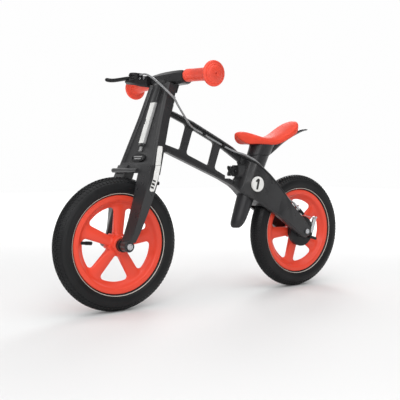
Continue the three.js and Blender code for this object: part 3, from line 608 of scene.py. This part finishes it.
def add_hub_bosses(side, axle, first_spoke):
    """Round moulding bosses between the spoke roots."""
    bm = bmesh.new()
    for angle in wheel_angles(first_spoke):
        centre = (axle[0] + BOSS_CIRCLE_R * math.sin(angle), axle[1] + BOSS_CIRCLE_R * math.cos(angle))
        revolve_disc(bm, BOSS_PROFILE, centre, 20)
    piece(f"{side}_hub_bosses", bm, f"{side}_wheel", "orange_plastic")


VALVE_SIDES = 20
CAP_RIBS = 5


def add_valve(side, axle, degrees):
    """The tube's valve with its ribbed cap, pointing at the hub."""
    angle = math.radians(degrees)
    bm = bmesh.new()
    profile = [(106, 3.4), (89, 3.4), (88.6, 3.7), (77.4, 3.7), (77, 2.9), (76.2, 2.9), (75.8, 4.4)]
    for i in range(CAP_RIBS):
        r = 75 - 2.4 * i
        profile += [(r, 4.4), (r - 0.5, 3.9), (r - 1.4, 3.9), (r - 1.9, 4.4)]
    profile += [(62.0, 4.2), (61.3, 3.2), (61, 0.5)]
    out = Vector((math.sin(angle), 0, math.cos(angle)))
    across = Vector((0, 1, 0))
    third = out.cross(across)
    centre = Vector((axle[0], 0, axle[1]))
    loft(bm, [circle(centre + out * r, across, third, radius, VALVE_SIDES) for r, radius in profile])
    piece(f"{side}_valve_capped", bm, f"{side}_wheel", "black_plastic", (f"{side}_valve",))


# ------------------------------------------------------------------ saddle
PAD_SECTIONS = [  # x, half width, underside, widest height, top
    (-66.5, 4.0, 402.5, 406.5, 409.3), (-69, 9.0, 397.5, 405.0, 412.3), (-74, 14.0, 392.0, 402.5, 414.8),
    (-82, 18.5, 386.5, 399.5, 416.0), (-92, 22.5, 382.8, 397.0, 415.8), (-103, 26.0, 382.0, 395.0, 414.0),
    (-114, 28.5, 382.8, 393.8, 411.6), (-126, 30.5, 382.8, 392.0, 408.4), (-141, 32.5, 382.0, 390.0, 404.6),
    (-156, 34.5, 381.0, 389.5, 403.8), (-170, 37.0, 381.0, 390.5, 405.4), (-185, 39.5, 383.5, 394.5, 409.6),
    (-200, 41.5, 389.0, 401.0, 416.4), (-214, 43.0, 396.0, 409.0, 424.2), (-228, 43.5, 403.0, 417.5, 433.2),
    (-240, 41.5, 409.0, 425.0, 441.0), (-250, 36.5, 414.0, 431.0, 446.5), (-258, 29.0, 419.0, 435.5, 449.5),
    (-264, 18.5, 425.0, 438.0, 449.5), (-267, 7.0, 431.5, 439.0, 446.0),
]


def pad_ring(x, w, low, widest, top):
    """One cross section: nearly flat underneath, a full rolled side and a crowned top."""
    under = [(0.0, low + 4.0), (0.45, low + 3.0), (0.78, low + 0.6), (0.94, low + 2.6)]
    side = [(1.0, widest)]
    rise = top - widest
    over = [(0.955, widest + 0.36 * rise), (0.82, widest + 0.65 * rise), (0.6, widest + 0.86 * rise),
            (0.32, top - 0.035 * rise)]
    half = under + side + over
    left = [(x, w * y, z) for y, z in half]
    right = [(x, -w * y, z) for y, z in reversed(half[1:])]
    return left + [(x, 0.0, top)] + right


NECK_SECTIONS = [  # height, centre x, half length, half width
    (356.5, -142.3, 32.4, 26.6), (358, -142.8, 32.8, 26.9), (366, -146.4, 33.2, 27.4),
    (376, -151.0, 33.8, 28.6), (386, -156.0, 36.0, 30.5), (390, -158.0, 37.0, 31.0),
]
TAIL_SECTIONS = [  # x, half width, underside, top, from inside the neck to the tip of the handle
    (-160, 8, 345, 380), (-170, 10.5, 350, 384), (-181, 13, 356.5, 387), (-193, 15.5, 365, 391),
    (-207, 17.5, 376, 396.5), (-221, 19, 387, 403), (-242, 20, 398.5, 413), (-256, 19.8, 405.8, 419),
    (-270, 19, 411.5, 424.6), (-289, 17.5, 420, 428.4), (-303, 14.5, 423.4, 428.8), (-311, 10, 424.8, 428.2),
    (-315, 4, 425.8, 427.4),
]


OVAL_SIDES = 40


def tail_ring(x, w, low, top):
    """A keel-shaped section: narrow under, widest near its top."""
    tall = top - low
    half = [(0.0, low), (0.4, low + 0.06 * tall), (0.72, low + 0.26 * tall), (0.92, low + 0.52 * tall),
            (1.0, low + 0.78 * tall), (0.94, low + 0.95 * tall), (0.8, top)]
    return [(x, w * y, z) for y, z in half] + [(x, -w * y, z) for y, z in reversed(half[1:])]


def oval(z, x, a, b):
    return [(x + a * math.cos(t), b * math.sin(t), z) for t in turns_of(OVAL_SIDES)]


def add_saddle_shell():
    """The neck that grows out of the post, and the keel behind it that ends as a lifting handle."""
    bm = bmesh.new()
    loft(bm, [oval(z, x, a, b) for z, x, a, b in NECK_SECTIONS])
    piece("saddle_neck", bm, "seat", "saddle_shell_plastic", ("saddle_shell",), smooth_angle=60)
    bm = bmesh.new()
    loft(bm, [tail_ring(*section) for section in TAIL_SECTIONS])
    subdivide(piece("saddle_tail", bm, "seat", "saddle_shell_plastic", smooth_angle=180), 2)


def add_saddle():
    bm = bmesh.new()
    loft(bm, [pad_ring(*section) for section in PAD_SECTIONS])
    pad = piece("saddle_pad_soft", bm, "seat", "orange_pad", ("saddle_pad",), smooth_angle=180)
    subdivide(pad, 2)


def subdivide(obj, levels):
    modifier = obj.modifiers.new("fine", "SUBSURF")
    modifier.levels = levels
    modifier.render_levels = levels


# ------------------------------------------------------------------ handlebar
def droop(bm, side):
    """Turns a mesh built round the straight bar down with its end of the bent bar."""
    centre = (0, side * BAR_BEND_Y, BAR_AXIS[1])
    bmesh.ops.rotate(bm, verts=bm.verts, cent=centre, matrix=Matrix.Rotation(-side * BAR_DROOP, 3, "X"))


GRIP_BORE_R = 9.3
GRIP_R = 14.7
GRIP_WAIST = 0.45
GRIP_STEPS = 12
GRIP_BARREL_END = 160
GRIP_GUARD = [  # radius, distance along the bar
    (14.9, 161.5), (15.3, 164.3), (17.0, 166.3), (20.5, 167.3), (25.0, 167.8), (27.2, 168.7), (28.0, 170.4),
    (28.0, 172.4), (27.3, 174.2), (25.6, 175.5), (23.4, 176.1), (22.6, 175.6), (22.0, 175.7), (21.4, 176.8),
    (19.6, 177.7), (18.6, 177.5), (17.8, 177.7), (17.0, 178.6), (12.5, 180.0), (6.0, 180.6), (2.6, 180.7),
    (2.0, 180.2), (2.0, 177.2), (0.4, 177.2),
]


def add_grip(hand, sign, start):
    """A soft tapered grip with a stepped, domed guard at its end."""
    barrel = [(GRIP_BORE_R, start), (13.2, start), (14.2, start + 0.5), (GRIP_R, start + 1.8)]
    span = GRIP_BARREL_END - start
    for i in range(1, GRIP_STEPS):
        waist = GRIP_WAIST * math.sin(math.pi * i / GRIP_STEPS)
        barrel.append((GRIP_R - waist, start + 2 + span * i / GRIP_STEPS))
    profile = barrel + GRIP_GUARD + [(0.4, 176.8), (GRIP_BORE_R, 176.8)]
    bm = bmesh.new()
    loops = [loop(bm, around(BAR_AXIS, r, sign * y, 56)) for r, y in profile]
    for i in range(len(loops)):
        if i != len(loops) - 2:
            skin(bm, loops[i - 1], loops[i])
    bm.faces.new(loops[-3])
    bm.faces.new(loops[-2])
    droop(bm, sign)
    piece(f"grip_{hand}_guarded", bm, "steering", "orange_rubber", (f"grip_{hand}",), smooth_angle=50)


# ------------------------------------------------------------------ steering-frame helpers
STEER_ANGLE = math.atan(STEER_LEAN)
STEER_FRAME = Matrix.Translation((STEER_TOP[0], 0, STEER_TOP[1])) @ Matrix.Rotation(-STEER_ANGLE, 4, "Y")


def steer(points):
    return [STEER_FRAME @ Vector(p) for p in points]


def circle(centre, across, third, r, sides):
    return [centre + (across * math.cos(t) + third * math.sin(t)) * r for t in turns_of(sides)]


def swept(bm, route, radius, sides):
    """A closed tube through points."""
    points = [Vector(p) for p in route]
    across = (points[1] - points[0]).orthogonal().normalized()
    rings = []
    for i, here in enumerate(points):
        along = (points[min(i + 1, len(points) - 1)] - points[max(i - 1, 0)]).normalized()
        across = (across - along * across.dot(along)).normalized()
        rings.append(circle(here, across, along.cross(across), radius, sides))
    loft(bm, rings)


def smooth_route(points, per_span=8):
    """A Catmull-Rom curve through the points."""
    p = [Vector(q) for q in points]
    p = [2 * p[0] - p[1]] + p + [2 * p[-1] - p[-2]]
    out = []
    for a, b, c, d in zip(p, p[1:], p[2:], p[3:]):
        for k in range(per_span):
            t = k / per_span
            square = (2 * a - 5 * b + 4 * c - d) * t**2
            cube = (3 * b - a - 3 * c + d) * t**3
            out.append(0.5 * (2 * b + (c - a) * t + square + cube))
    return out + [p[-2]]


# ------------------------------------------------------------------ brake cable
LOOP_ROUTE = [
    (164, -81.9, 549), (161.5, -60, 548), (162, -32, 538.5), (170.5, 15, 519), (175.5, 54, 499.5),
    (160, 63, 481.5), (144, 56, 465.5), (115.8, 38, 445.1), (86.8, 18, 426.6), (70, 8.6, 419.6),
    (61.4, 7.5, 415.6),
]
RAIL_ROUTE = [
    (60.5, 7.5, 415.3), (38.8, 7.5, 405.6), (8.6, 7.5, 391.4), (-21.7, 7.8, 378.2), (-45.4, 14, 366.7),
    (-58.6, 20, 361.7), (-71.2, 26.5, 357.5), (-84, 33, 350.8), (-103, 35, 341.6), (-126, 36, 324),
    (-150, 36.5, 305.6), (-178, 37, 279.6), (-203, 37.5, 253.2), (-218, 38, 238.6), (-228, 38, 232.9),
    (-235.3, 38, 228.7),
]
CASING_R = 2.4


def add_cable():
    bm = bmesh.new()
    swept(bm, smooth_route(LOOP_ROUTE), CASING_R, 16)
    free = piece("brake_cable_arc", bm, None, "cable_casing", ("brake_cable_loop",), smooth_angle=60)
    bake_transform(free)
    bm = bmesh.new()
    swept(bm, smooth_route(RAIL_ROUTE), CASING_R, 16)
    piece("brake_cable_laid", bm, "frame", "cable_casing", ("brake_cable_frame",), smooth_angle=60)


# ------------------------------------------------------------------ brake lever
LEVER_PIVOT = (160.0, -120.0)
LEVER_SPINE = [  # along the blade: x, y, height of its middle, half breadth, half thickness
    (164.2, -127.6, 545.8, 10.4, 4.6), (168.0, -134.4, 545.7, 9.4, 4.6), (174.0, -144.6, 545.2, 7.2, 4.6),
    (181.0, -155.6, 544.0, 6.0, 4.7), (188.0, -166.6, 542.9, 5.4, 4.8), (194.0, -176.0, 543.0, 5.4, 4.9),
    (198.6, -183.0, 544.4, 5.8, 5.2), (201.2, -187.0, 545.6, 5.4, 5.0), (202.9, -189.6, 546.3, 3.6, 3.4),
    (203.7, -190.8, 546.6, 1.0, 1.0),
]


def add_lever_blade():
    """The two-finger lever: broad at its pivot, slim, then lifting to a rounded tip."""
    bm = bmesh.new()
    rings = []
    centres = [Vector(spot[:3]) for spot in LEVER_SPINE]
    for i, (x, y, z, broad, thick) in enumerate(LEVER_SPINE):
        along = (centres[min(i + 1, len(centres) - 1)] - centres[max(i - 1, 0)]).normalized()
        across = along.cross(Vector((0, 0, 1))).normalized()
        up = across.cross(along)
        ring = []
        for k in range(16):
            t = 2 * math.pi * k / 16
            u = math.copysign(abs(math.cos(t)) ** 0.75, math.cos(t))
            v = math.copysign(abs(math.sin(t)) ** 0.75, math.sin(t))
            ring.append(Vector((x, y, z)) + across * (broad * u) + up * (thick * v))
        rings.append(ring)
    loft(bm, rings)
    subdivide(piece("brake_lever_blade", bm, "lever", "black_plastic", ("brake_lever",), smooth_angle=180), 2)
    bm = bmesh.new()
    x, y = LEVER_PIVOT
    loops = []
    for r, z in ((4.4, 541.6), (11.4, 541.2), (12.4, 542.2), (12.4, 549.4), (11.4, 550.4), (4.4, 550.0)):
        ring = [(x + r * math.cos(t), y + r * math.sin(t), z) for t in turns_of(OVAL_SIDES)]
        loops.append(loop(bm, ring))
    for i in range(len(loops)):
        skin(bm, loops[i - 1], loops[i])
    piece("brake_lever_eye", bm, "lever", "black_plastic", smooth_angle=50)


# ------------------------------------------------------------------ brake wire and cable end
ARM_TOP = Vector((-240, 38, 214.9))
ARM_SLOPE = Vector((-0.715, 0, -0.699)).normalized()
ARM_NORMAL = Vector((ARM_SLOPE.z, 0, -ARM_SLOPE.x))


RIBBED_SIDES = 24


def on_arm(along, up):
    return ARM_TOP + ARM_SLOPE * along + ARM_NORMAL * up


def ribbed(bm, start, end, profile):
    """A closed body of revolution between two points, its profile as (share of the length, radius)."""
    start, end = Vector(start), Vector(end)
    along = (end - start).normalized()
    across = along.orthogonal().normalized()
    third = along.cross(across)
    loft(bm, [circle(start.lerp(end, share), across, third, r, RIBBED_SIDES) for share, r in profile])


def add_cable_end():
    """The barrel adjuster with its collars, the rubber bellows and the bare wire to the brake arm."""
    bm = bmesh.new()
    profile = [(0.0, 2.6), (0.03, 3.5), (0.22, 3.5), (0.25, 3.0), (0.42, 3.0), (0.44, 3.5), (0.6, 3.5),
               (0.62, 3.1), (0.78, 3.1), (0.8, 3.5), (0.97, 3.5), (1.0, 2.8)]
    ribbed(bm, on_arm(-12, 6.5), on_arm(12, 6.5), profile)
    piece("barrel_adjuster_turned", bm, "frame", "steel", ("barrel_adjuster",))
    folds = 6
    profile = [(0.0, 3.6)]
    for i in range(folds):
        crest = 5.0 - 0.16 * i
        start = i / folds
        profile += [(start + 0.03, crest - 0.9), (start + 0.07, crest)]
        profile += [(start + 0.1, crest), (start + 0.14, crest - 0.9)]
    profile += [(0.99, 3.0), (1.0, 2.2)]
    bm = bmesh.new()
    ribbed(bm, on_arm(12.4, 6.7), on_arm(33, 8), profile)
    piece("cable_bellows_ribbed", bm, "frame", "rubber_black", ("cable_bellows",))
    bm = bmesh.new()
    wire = [on_arm(32, 7.9), (-280, 37.2, 193.5), (-297, 35.5, 189.0), (-318, 35, 186.5)]
    swept(bm, smooth_route(wire, 5), 0.75, 8)
    inner = piece("brake_wire", bm, None, "steel", smooth_angle=60)
    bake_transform(inner)
    bm = bmesh.new()
    ribbed(bm, (-318.5, 33.5, 186.5), (-318.5, 37.8, 186.5), [(0.0, 3.2), (1.0, 3.2)])
    piece("wire_pin", bm, "cam", "steel")


# ------------------------------------------------------------------ fork trim
PANEL_FRONT = 30.3
SPINE_SECTION = [  # depth from the steering axis and half width, from the panel out
    (30.6, 12.0), (34.7, 11.6), (35.8, 11.0), (36.3, 10.0),
]
SPINE_TOP = -15.0
SPINE_BOTTOM = -165.0


def spine_ring(height):
    right = [(x, -y, height) for x, y in reversed(SPINE_SECTION)]
    return steer([(x, y, height) for x, y in SPINE_SECTION] + right)


def add_spine():
    """The proud bar down the middle of the fork, with a plain wrapped label on it whose side is painted a
    shade grey.
    """
    bm = bmesh.new()
    loft(bm, [spine_ring(h) for h in (SPINE_TOP, SPINE_BOTTOM + 1.2, SPINE_BOTTOM)])
    piece("fork_spine_moulded", bm, "steering", "frame_nylon", ("fork_spine",), smooth_angle=40)
    high, low = -60.0, -159.5
    front = 36.32
    bm = bmesh.new()
    loft(bm, [steer([(x, -9.9, h), (x, 9.9, h), (x, 9.9, h2), (x, -9.9, h2)])
              for x, h, h2 in ((front, low, high), (front + 0.3, low, high))])
    piece("spine_label", bm, "steering", "frame_nylon", material=STICKER_WHITE)
    # The label's side round the spine is a darker grey copy of its white front: painted shade.
    bm = bmesh.new()
    side = [(31.2, 12.0), (34.7, 11.65), (35.8, 11.05), (36.3, 10.1)]
    rings = []
    for h in (low, high):
        outside = [(x + 0.1, y + 0.3, h) for x, y in reversed(side)]
        rings.append(steer([(x, y, h) for x, y in side] + outside))
    loft(bm, rings)
    piece("spine_label_painted_shade_side", bm, "steering", "frame_nylon", material=PAINTED_SHADE_AND_PRINT_GREY)
    bm = bmesh.new()
    for height, half_tall, half_wide in ((-104.0, 3.4, 1.3), (-111.0, 2.2, 1.3)):
        y0, y1 = -8.4 - half_wide, -8.4 + half_wide
        corners = [(y0, -half_tall), (y1, -half_tall), (y1, half_tall), (y0, half_tall)]
        loft(bm, [steer([(x, y, height + h) for y, h in corners]) for x in (front + 0.2, front + 0.45)])
    piece("spine_label_marks", bm, "steering", "frame_nylon", material=STICKER_INK)
    # A small grey block at the foot of the spine.
    bm = bmesh.new()
    corners = [(-4.5, -178.5), (4.5, -178.5), (4.5, -166.5), (-4.5, -166.5)]
    loft(bm, [steer([(x, y, h) for y, h in corners]) for x in (PANEL_FRONT + 0.1, PANEL_FRONT + 4.2)])
    bevel(piece("spine_stub", bm, "steering", "frame_nylon", material=PAINTED_SHADE_AND_PRINT_GREY), 0.8, 2)


BADGE_HEIGHT = -194.0
BADGE_HALF_WIDE = 31.0
BADGE_HALF_TALL = 10.5
BADGE_ROWS = [  # depth from the panel, share of the full oval
    (0.1, 1.0), (2.4, 1.0), (3.2, 0.96), (3.3, 0.88), (2.7, 0.84), (3.3, 0.5), (3.5, 0.1),
]
BAR_HALF_TALL = 1.3


def badge_ring(depth, share):
    wide, tall = BADGE_HALF_WIDE * share, BADGE_HALF_TALL * share
    return steer([(PANEL_FRONT + depth, wide * math.cos(t), BADGE_HEIGHT + tall * math.sin(t))
                  for t in turns_of(OVAL_SIDES)])


def add_badge():
    """A plain raised oval on the fork, above its rolled lip, with two plain bars."""
    bm = bmesh.new()
    loft(bm, [badge_ring(*row) for row in BADGE_ROWS])
    piece("fork_badge", bm, "steering", "black_plastic", smooth_angle=40)
    bm = bmesh.new()
    for width, height in ((38.0, 2.6), (30.0, -2.4)):
        y0, y1 = -width / 2, width / 2
        low = BADGE_HEIGHT + height - BAR_HALF_TALL
        high = BADGE_HEIGHT + height + BAR_HALF_TALL
        corners = [(y0, low), (y1, low), (y1, high), (y0, high)]
        loft(bm, [steer([(PANEL_FRONT + x, y, h) for y, h in corners]) for x in (3.0, 3.7)])
    piece("badge_bars", bm, "steering", "black_plastic", material=PAINTED_SHADE_AND_PRINT_GREY)


def fork_side(hand, sign, x, z):
    """How far out the fork's side face is."""
    node = frame["nodes"][f"fork_{hand}"]
    inverse = node.matrix_world.inverted()
    start = inverse @ (Vector((x, sign * 150.0, z)) * MM)
    found, spot, _, _ = node.ray_cast(start, inverse.to_3x3() @ Vector((0, -sign, 0)))
    return abs((node.matrix_world @ spot).y) / MM if found else 0.0


LABEL_EDGES = [  # height, rear x, front x of the side label
    (272.5, 226.5, 232.0), (273.6, 224.6, 234.6), (277.0, 223.2, 236.0), (285, 220.3, 233.2),
    (300, 214.8, 227.8), (308, 212.2, 225.2), (316, 209.6, 222.6), (322, 207.4, 220.4),
    (328, 205.4, 218.4), (331, 204.5, 217.5), (338, 202.5, 215.5), (350, 199.2, 212.2),
    (366, 194.8, 207.8), (370.6, 194.6, 206.4), (372.4, 197.0, 204.6),
]


def add_side_label(hand, sign):
    """A plain strip label down the outside of the fork, with bars where print would be."""
    bm = bmesh.new()
    rings = []
    for z, x0, x1 in LABEL_EDGES:
        middle = (x0 + x1) / 2
        low = max(fork_side(hand, sign, x, z) for x in (x0, middle, x1)) + 0.15
        rings.append([(x0, sign * low, z), (x1, sign * low, z), (x1, sign * (low + 0.35), z),
                      (x0, sign * (low + 0.35), z)])
    loft(bm, rings)
    piece(f"fork_label_{hand}", bm, "steering", "frame_nylon", material=STICKER_WHITE, smooth_angle=60)
    bm = bmesh.new()
    for z, tall, lean in ((281.5, 4.2, 1.2), (288.5, 5.0, 1.2), (295.5, 3.6, 1.2)):
        x = 230.4 - (z - 280) * 0.36
        low = max(fork_side(hand, sign, x, z + rise) for rise in (-6, 0, 6)) + 0.6
        half = 3.6
        corners = [(x - half, z - tall / 2 - lean), (x + half, z - tall / 2 + lean),
                   (x + half, z + tall / 2 + lean), (x - half, z + tall / 2 - lean)]
        loft(bm, [[(cx, sign * y, cz) for cx, cz in corners] for y in (low, low + 0.25)])
    piece(f"fork_label_bars_{hand}", bm, "steering", "frame_nylon", material=STICKER_INK)


# ------------------------------------------------------------------ number disc and knob
DISC_SPOT = (-105.5, 282.0)


def add_number_disc(hand, sign):
    """A race-number disc, with a plain slanted 1."""
    bm = bmesh.new()
    profile = [(0.5, 39.5), (19.2, 39.5), (19.2, 43.0), (18.9, 43.3), (0.5, 43.3)]
    revolve_disc(bm, [(r, sign * y) for r, y in profile], DISC_SPOT, 64)
    piece(f"number_disc_{hand}", bm, "frame", "frame_nylon", material=STICKER_WHITE)
    outline = [(-6.4, -13.4), (-0.4, -13.4), (5.6, 10.6), (3.0, 13.6), (-0.6, 13.6), (-7.2, 9.4), (-7.2, 5.0),
               (-2.0, 6.4)]
    bm = bmesh.new()
    x, z = DISC_SPOT
    loft(bm, [[(x - sign * u, sign * y, z + v) for u, v in outline] for y in (43.25, 43.7)])
    piece(f"number_one_{hand}", bm, "frame", "frame_nylon", material=STICKER_INK)


CLAMP_Z = 315.5
KNOB_R = 12.9
KNOB_LOBE = 4.1
KNOB_LOBES = 4
KNOB_SIDES = 96


def add_knob():
    """The clamp's four-lobed knob, dished in the middle of its face."""
    turns = turns_of(KNOB_SIDES)

    def knob_ring(x, grow):
        radii = [KNOB_R + grow - KNOB_LOBE * math.cos(KNOB_LOBES * t) for t in turns]
        return [(x, r * math.cos(t), CLAMP_Z + r * math.sin(t)) for r, t in zip(radii, turns)]

    bm = bmesh.new()
    rows = [(-60, -2.2), (-59.4, -0.8), (-58.2, 0.0), (-50.2, 0.0), (-48.8, -0.7), (-48.1, -2.0)]
    rings = [knob_ring(x, grow) for x, grow in rows]
    for x, r in ((-48.1, 6.4), (-49.4, 5.6), (-49.6, 4.0), (-48.6, 3.4), (-48.4, 0.6)):
        rings.append([(x, r * math.cos(t), CLAMP_Z + r * math.sin(t)) for t in turns])
    loft(bm, rings)
    piece("clamp_knob_lobed", bm, "knob", "black_plastic", ("clamp_knob",), smooth_angle=50)


# ------------------------------------------------------------------ pieces that keep their CAD shapes
ROUNDED = {  # node: (edge radius in mm, segments)
    "main_frame": (1.6, 3), "fork_left": (1.3, 3), "fork_right": (1.3, 3),
    "upper_crown": (0.8, 2), "lower_crown": (0.8, 2), "seat_post": (1.5, 3),
    "handlebar_centre": (3.0, 4), "lever_bracket": (1.8, 3), "lever_pivot_cap": (1.5, 3),
    "lever_screw_1": (0.5, 2), "lever_screw_2": (0.5, 2), "torque_strap": (1.0, 2),
    "brake_arm": (0.8, 2), "brake_drum": (1.2, 2), "brake_back_plate": (0.8, 2), "cable_stop": (0.4, 2),
    "cable_clip_1": (0.8, 2), "cable_clip_2": (0.8, 2),
    "rear_axle_nut_left": (0.6, 2), "rear_axle_nut_right": (0.6, 2), "front_axle_nut_left": (0.6, 2),
    "front_axle_nut_right": (0.6, 2), "front_hub_spacer_left": (0.8, 2), "front_hub_spacer_right": (0.8, 2),
    "fork_bolt_left": (0.8, 2), "fork_bolt_right": (0.8, 2), "front_axle": (0.6, 2), "rear_axle": (0.6, 2),
}


def add_rounded():
    for node, (radius, segments) in ROUNDED.items():
        refined(node, radius, segments)


# ------------------------------------------------------------------ stage, light and camera
FLOOR_HALF = 6.0
FLOOR_NEAR = 0.6
FLOOR_FAR = 2.6
FLOOR_PAINTED_LIGHT = 0.3


def floor_paint():
    """Pale, with painted light: its colour is whiter and it glows more with distance, making up for the
    lamps' fall-off, so that it meets the backdrop without a line.
    """
    material, nodes, links, shader, place = shader_nodes("floor")
    away = nodes.new("ShaderNodeVectorMath")
    away.operation = "LENGTH"
    links.new(place, away.inputs[0])
    share = nodes.new("ShaderNodeMapRange")
    share.interpolation_type = "SMOOTHSTEP"
    share.inputs["From Min"].default_value = FLOOR_NEAR
    share.inputs["From Max"].default_value = FLOOR_FAR
    links.new(away.outputs["Value"], share.inputs["Value"])
    links.new(two_colours(nodes, links, share.outputs["Result"], (0.76, 0.76, 0.76), (0.93, 0.93, 0.93)),
              shader.inputs["Base Color"])
    # Painted light: the far floor glows, though no lamp lights it so.
    glow = nodes.new("ShaderNodeMath")
    glow.operation = "MULTIPLY"
    glow.inputs[1].default_value = FLOOR_PAINTED_LIGHT
    links.new(share.outputs["Result"], glow.inputs[0])
    links.new(glow.outputs["Value"], shader.inputs["Emission Strength"])
    shader.inputs["Emission Color"].default_value = (1, 1, 1, 1)
    shader.inputs["Roughness"].default_value = 0.75
    return material


def add_floor():
    bm = bmesh.new()
    corners = [(x * FLOOR_HALF, y * FLOOR_HALF, 0) for x, y in ((-1, -1), (1, -1), (1, 1), (-1, 1))]
    bm.faces.new(loop(bm, corners))
    mesh = bpy.data.meshes.new("floor")
    bm.to_mesh(mesh)
    bm.free()
    floor = bpy.data.objects.new("floor", mesh)
    bpy.context.scene.collection.objects.link(floor)
    mesh.materials.append(floor_paint())


def add_light(name, place, target, size, power):
    data = bpy.data.lights.new(name, "AREA")
    data.shape = "DISK"
    data.size = size
    data.energy = power
    obj = bpy.data.objects.new(name, data)
    bpy.context.scene.collection.objects.link(obj)
    obj.location = place
    obj.rotation_euler = (Vector(target) - Vector(place)).to_track_quat("-Z", "Y").to_euler()


MIDDLE = (0, 0, 0.25)
SOFT_LIGHTS = {  # name: (place, target, size in metres, power in watts)
    "side": ((1.2, 2.2, 1.2), MIDDLE, 0.9, 14),
    "front": ((2.4, 0.1, 1.3), MIDDLE, 0.7, 5),
    "glint": ((2.3, 1.6, 1.5), (0.15, 0, 0.4), 0.35, 9),
    "back": ((-1.6, -1.6, 1.6), MIDDLE, 1.0, 16),
}


def add_lights():
    """A white backdrop behind the bike, a dimmer room round it and soft lights."""
    world = bpy.data.worlds.new("studio")
    world.use_nodes = True
    nodes = world.node_tree.nodes
    links = world.node_tree.links
    place = nodes.new("ShaderNodeTexCoord")
    facing = nodes.new("ShaderNodeVectorMath")
    facing.operation = "DOT_PRODUCT"
    facing.inputs[1].default_value = BACKDROP
    links.new(place.outputs["Generated"], facing.inputs[0])
    strength = nodes.new("ShaderNodeMapRange")
    strength.inputs["From Min"].default_value = BACKDROP_STARTS
    strength.inputs["From Max"].default_value = BACKDROP_FULL
    strength.inputs["To Min"].default_value = ROOM_STRENGTH
    strength.inputs["To Max"].default_value = BACKDROP_STRENGTH
    links.new(facing.outputs["Value"], strength.inputs["Value"])
    background = nodes["Background"]
    background.inputs["Color"].default_value = (1, 1, 1, 1)
    links.new(strength.outputs["Result"], background.inputs["Strength"])
    bpy.context.scene.world = world
    bpy.context.scene.view_settings.view_transform = "Standard"
    sky = bpy.data.lights.new("overhead", "SUN")
    sky.energy = OVERHEAD_POWER
    sky.angle = OVERHEAD_SPREAD
    lamp = bpy.data.objects.new("overhead", sky)
    bpy.context.scene.collection.objects.link(lamp)
    lamp.rotation_euler = (-Vector(OVERHEAD_FROM)).to_track_quat("-Z", "Y").to_euler()
    for name, light in SOFT_LIGHTS.items():
        add_light(name, *light)


LENS = 57.29
SENSOR_WIDTH = 36
CAMERA_PLACE = (0.9400, 1.2794, 0.3308)
CAMERA_TARGET = (0.044, 0, 0.2445)


def add_camera():
    data = bpy.data.cameras.new("camera")
    data.lens = LENS
    data.sensor_width = SENSOR_WIDTH
    camera = bpy.data.objects.new("camera", data)
    bpy.context.scene.collection.objects.link(camera)
    camera.location = CAMERA_PLACE
    looking = Vector(CAMERA_TARGET) - Vector(CAMERA_PLACE)
    camera.rotation_euler = looking.to_track_quat("-Z", "Y").to_euler()
    bpy.context.scene.camera = camera


# ------------------------------------------------------------------ making
add_camera()
add_floor()
add_lights()
dress_cad_nodes()
for wheel, axle_at, spoke, valve in (("front", FRONT_AXLE, -6, 84.4), ("rear", REAR_AXLE, 20, 56)):
    add_tyre(wheel, axle_at)
    add_rim(wheel, axle_at, spoke)
    add_hub_bosses(wheel, axle_at, spoke)
    add_valve(wheel, axle_at, valve)
add_saddle()
add_saddle_shell()
add_knob()
add_spine()
add_badge()
add_cable_end()
add_lever_blade()
for hand_name, hand_side in (("left", 1), ("right", -1)):
    add_side_label(hand_name, hand_side)
    add_number_disc(hand_name, hand_side)
for grip_hand, grip_sign, grip_start in (("left", 1, 71), ("right", -1, 89)):
    add_grip(grip_hand, grip_sign, grip_start)
add_cable()
add_rounded()
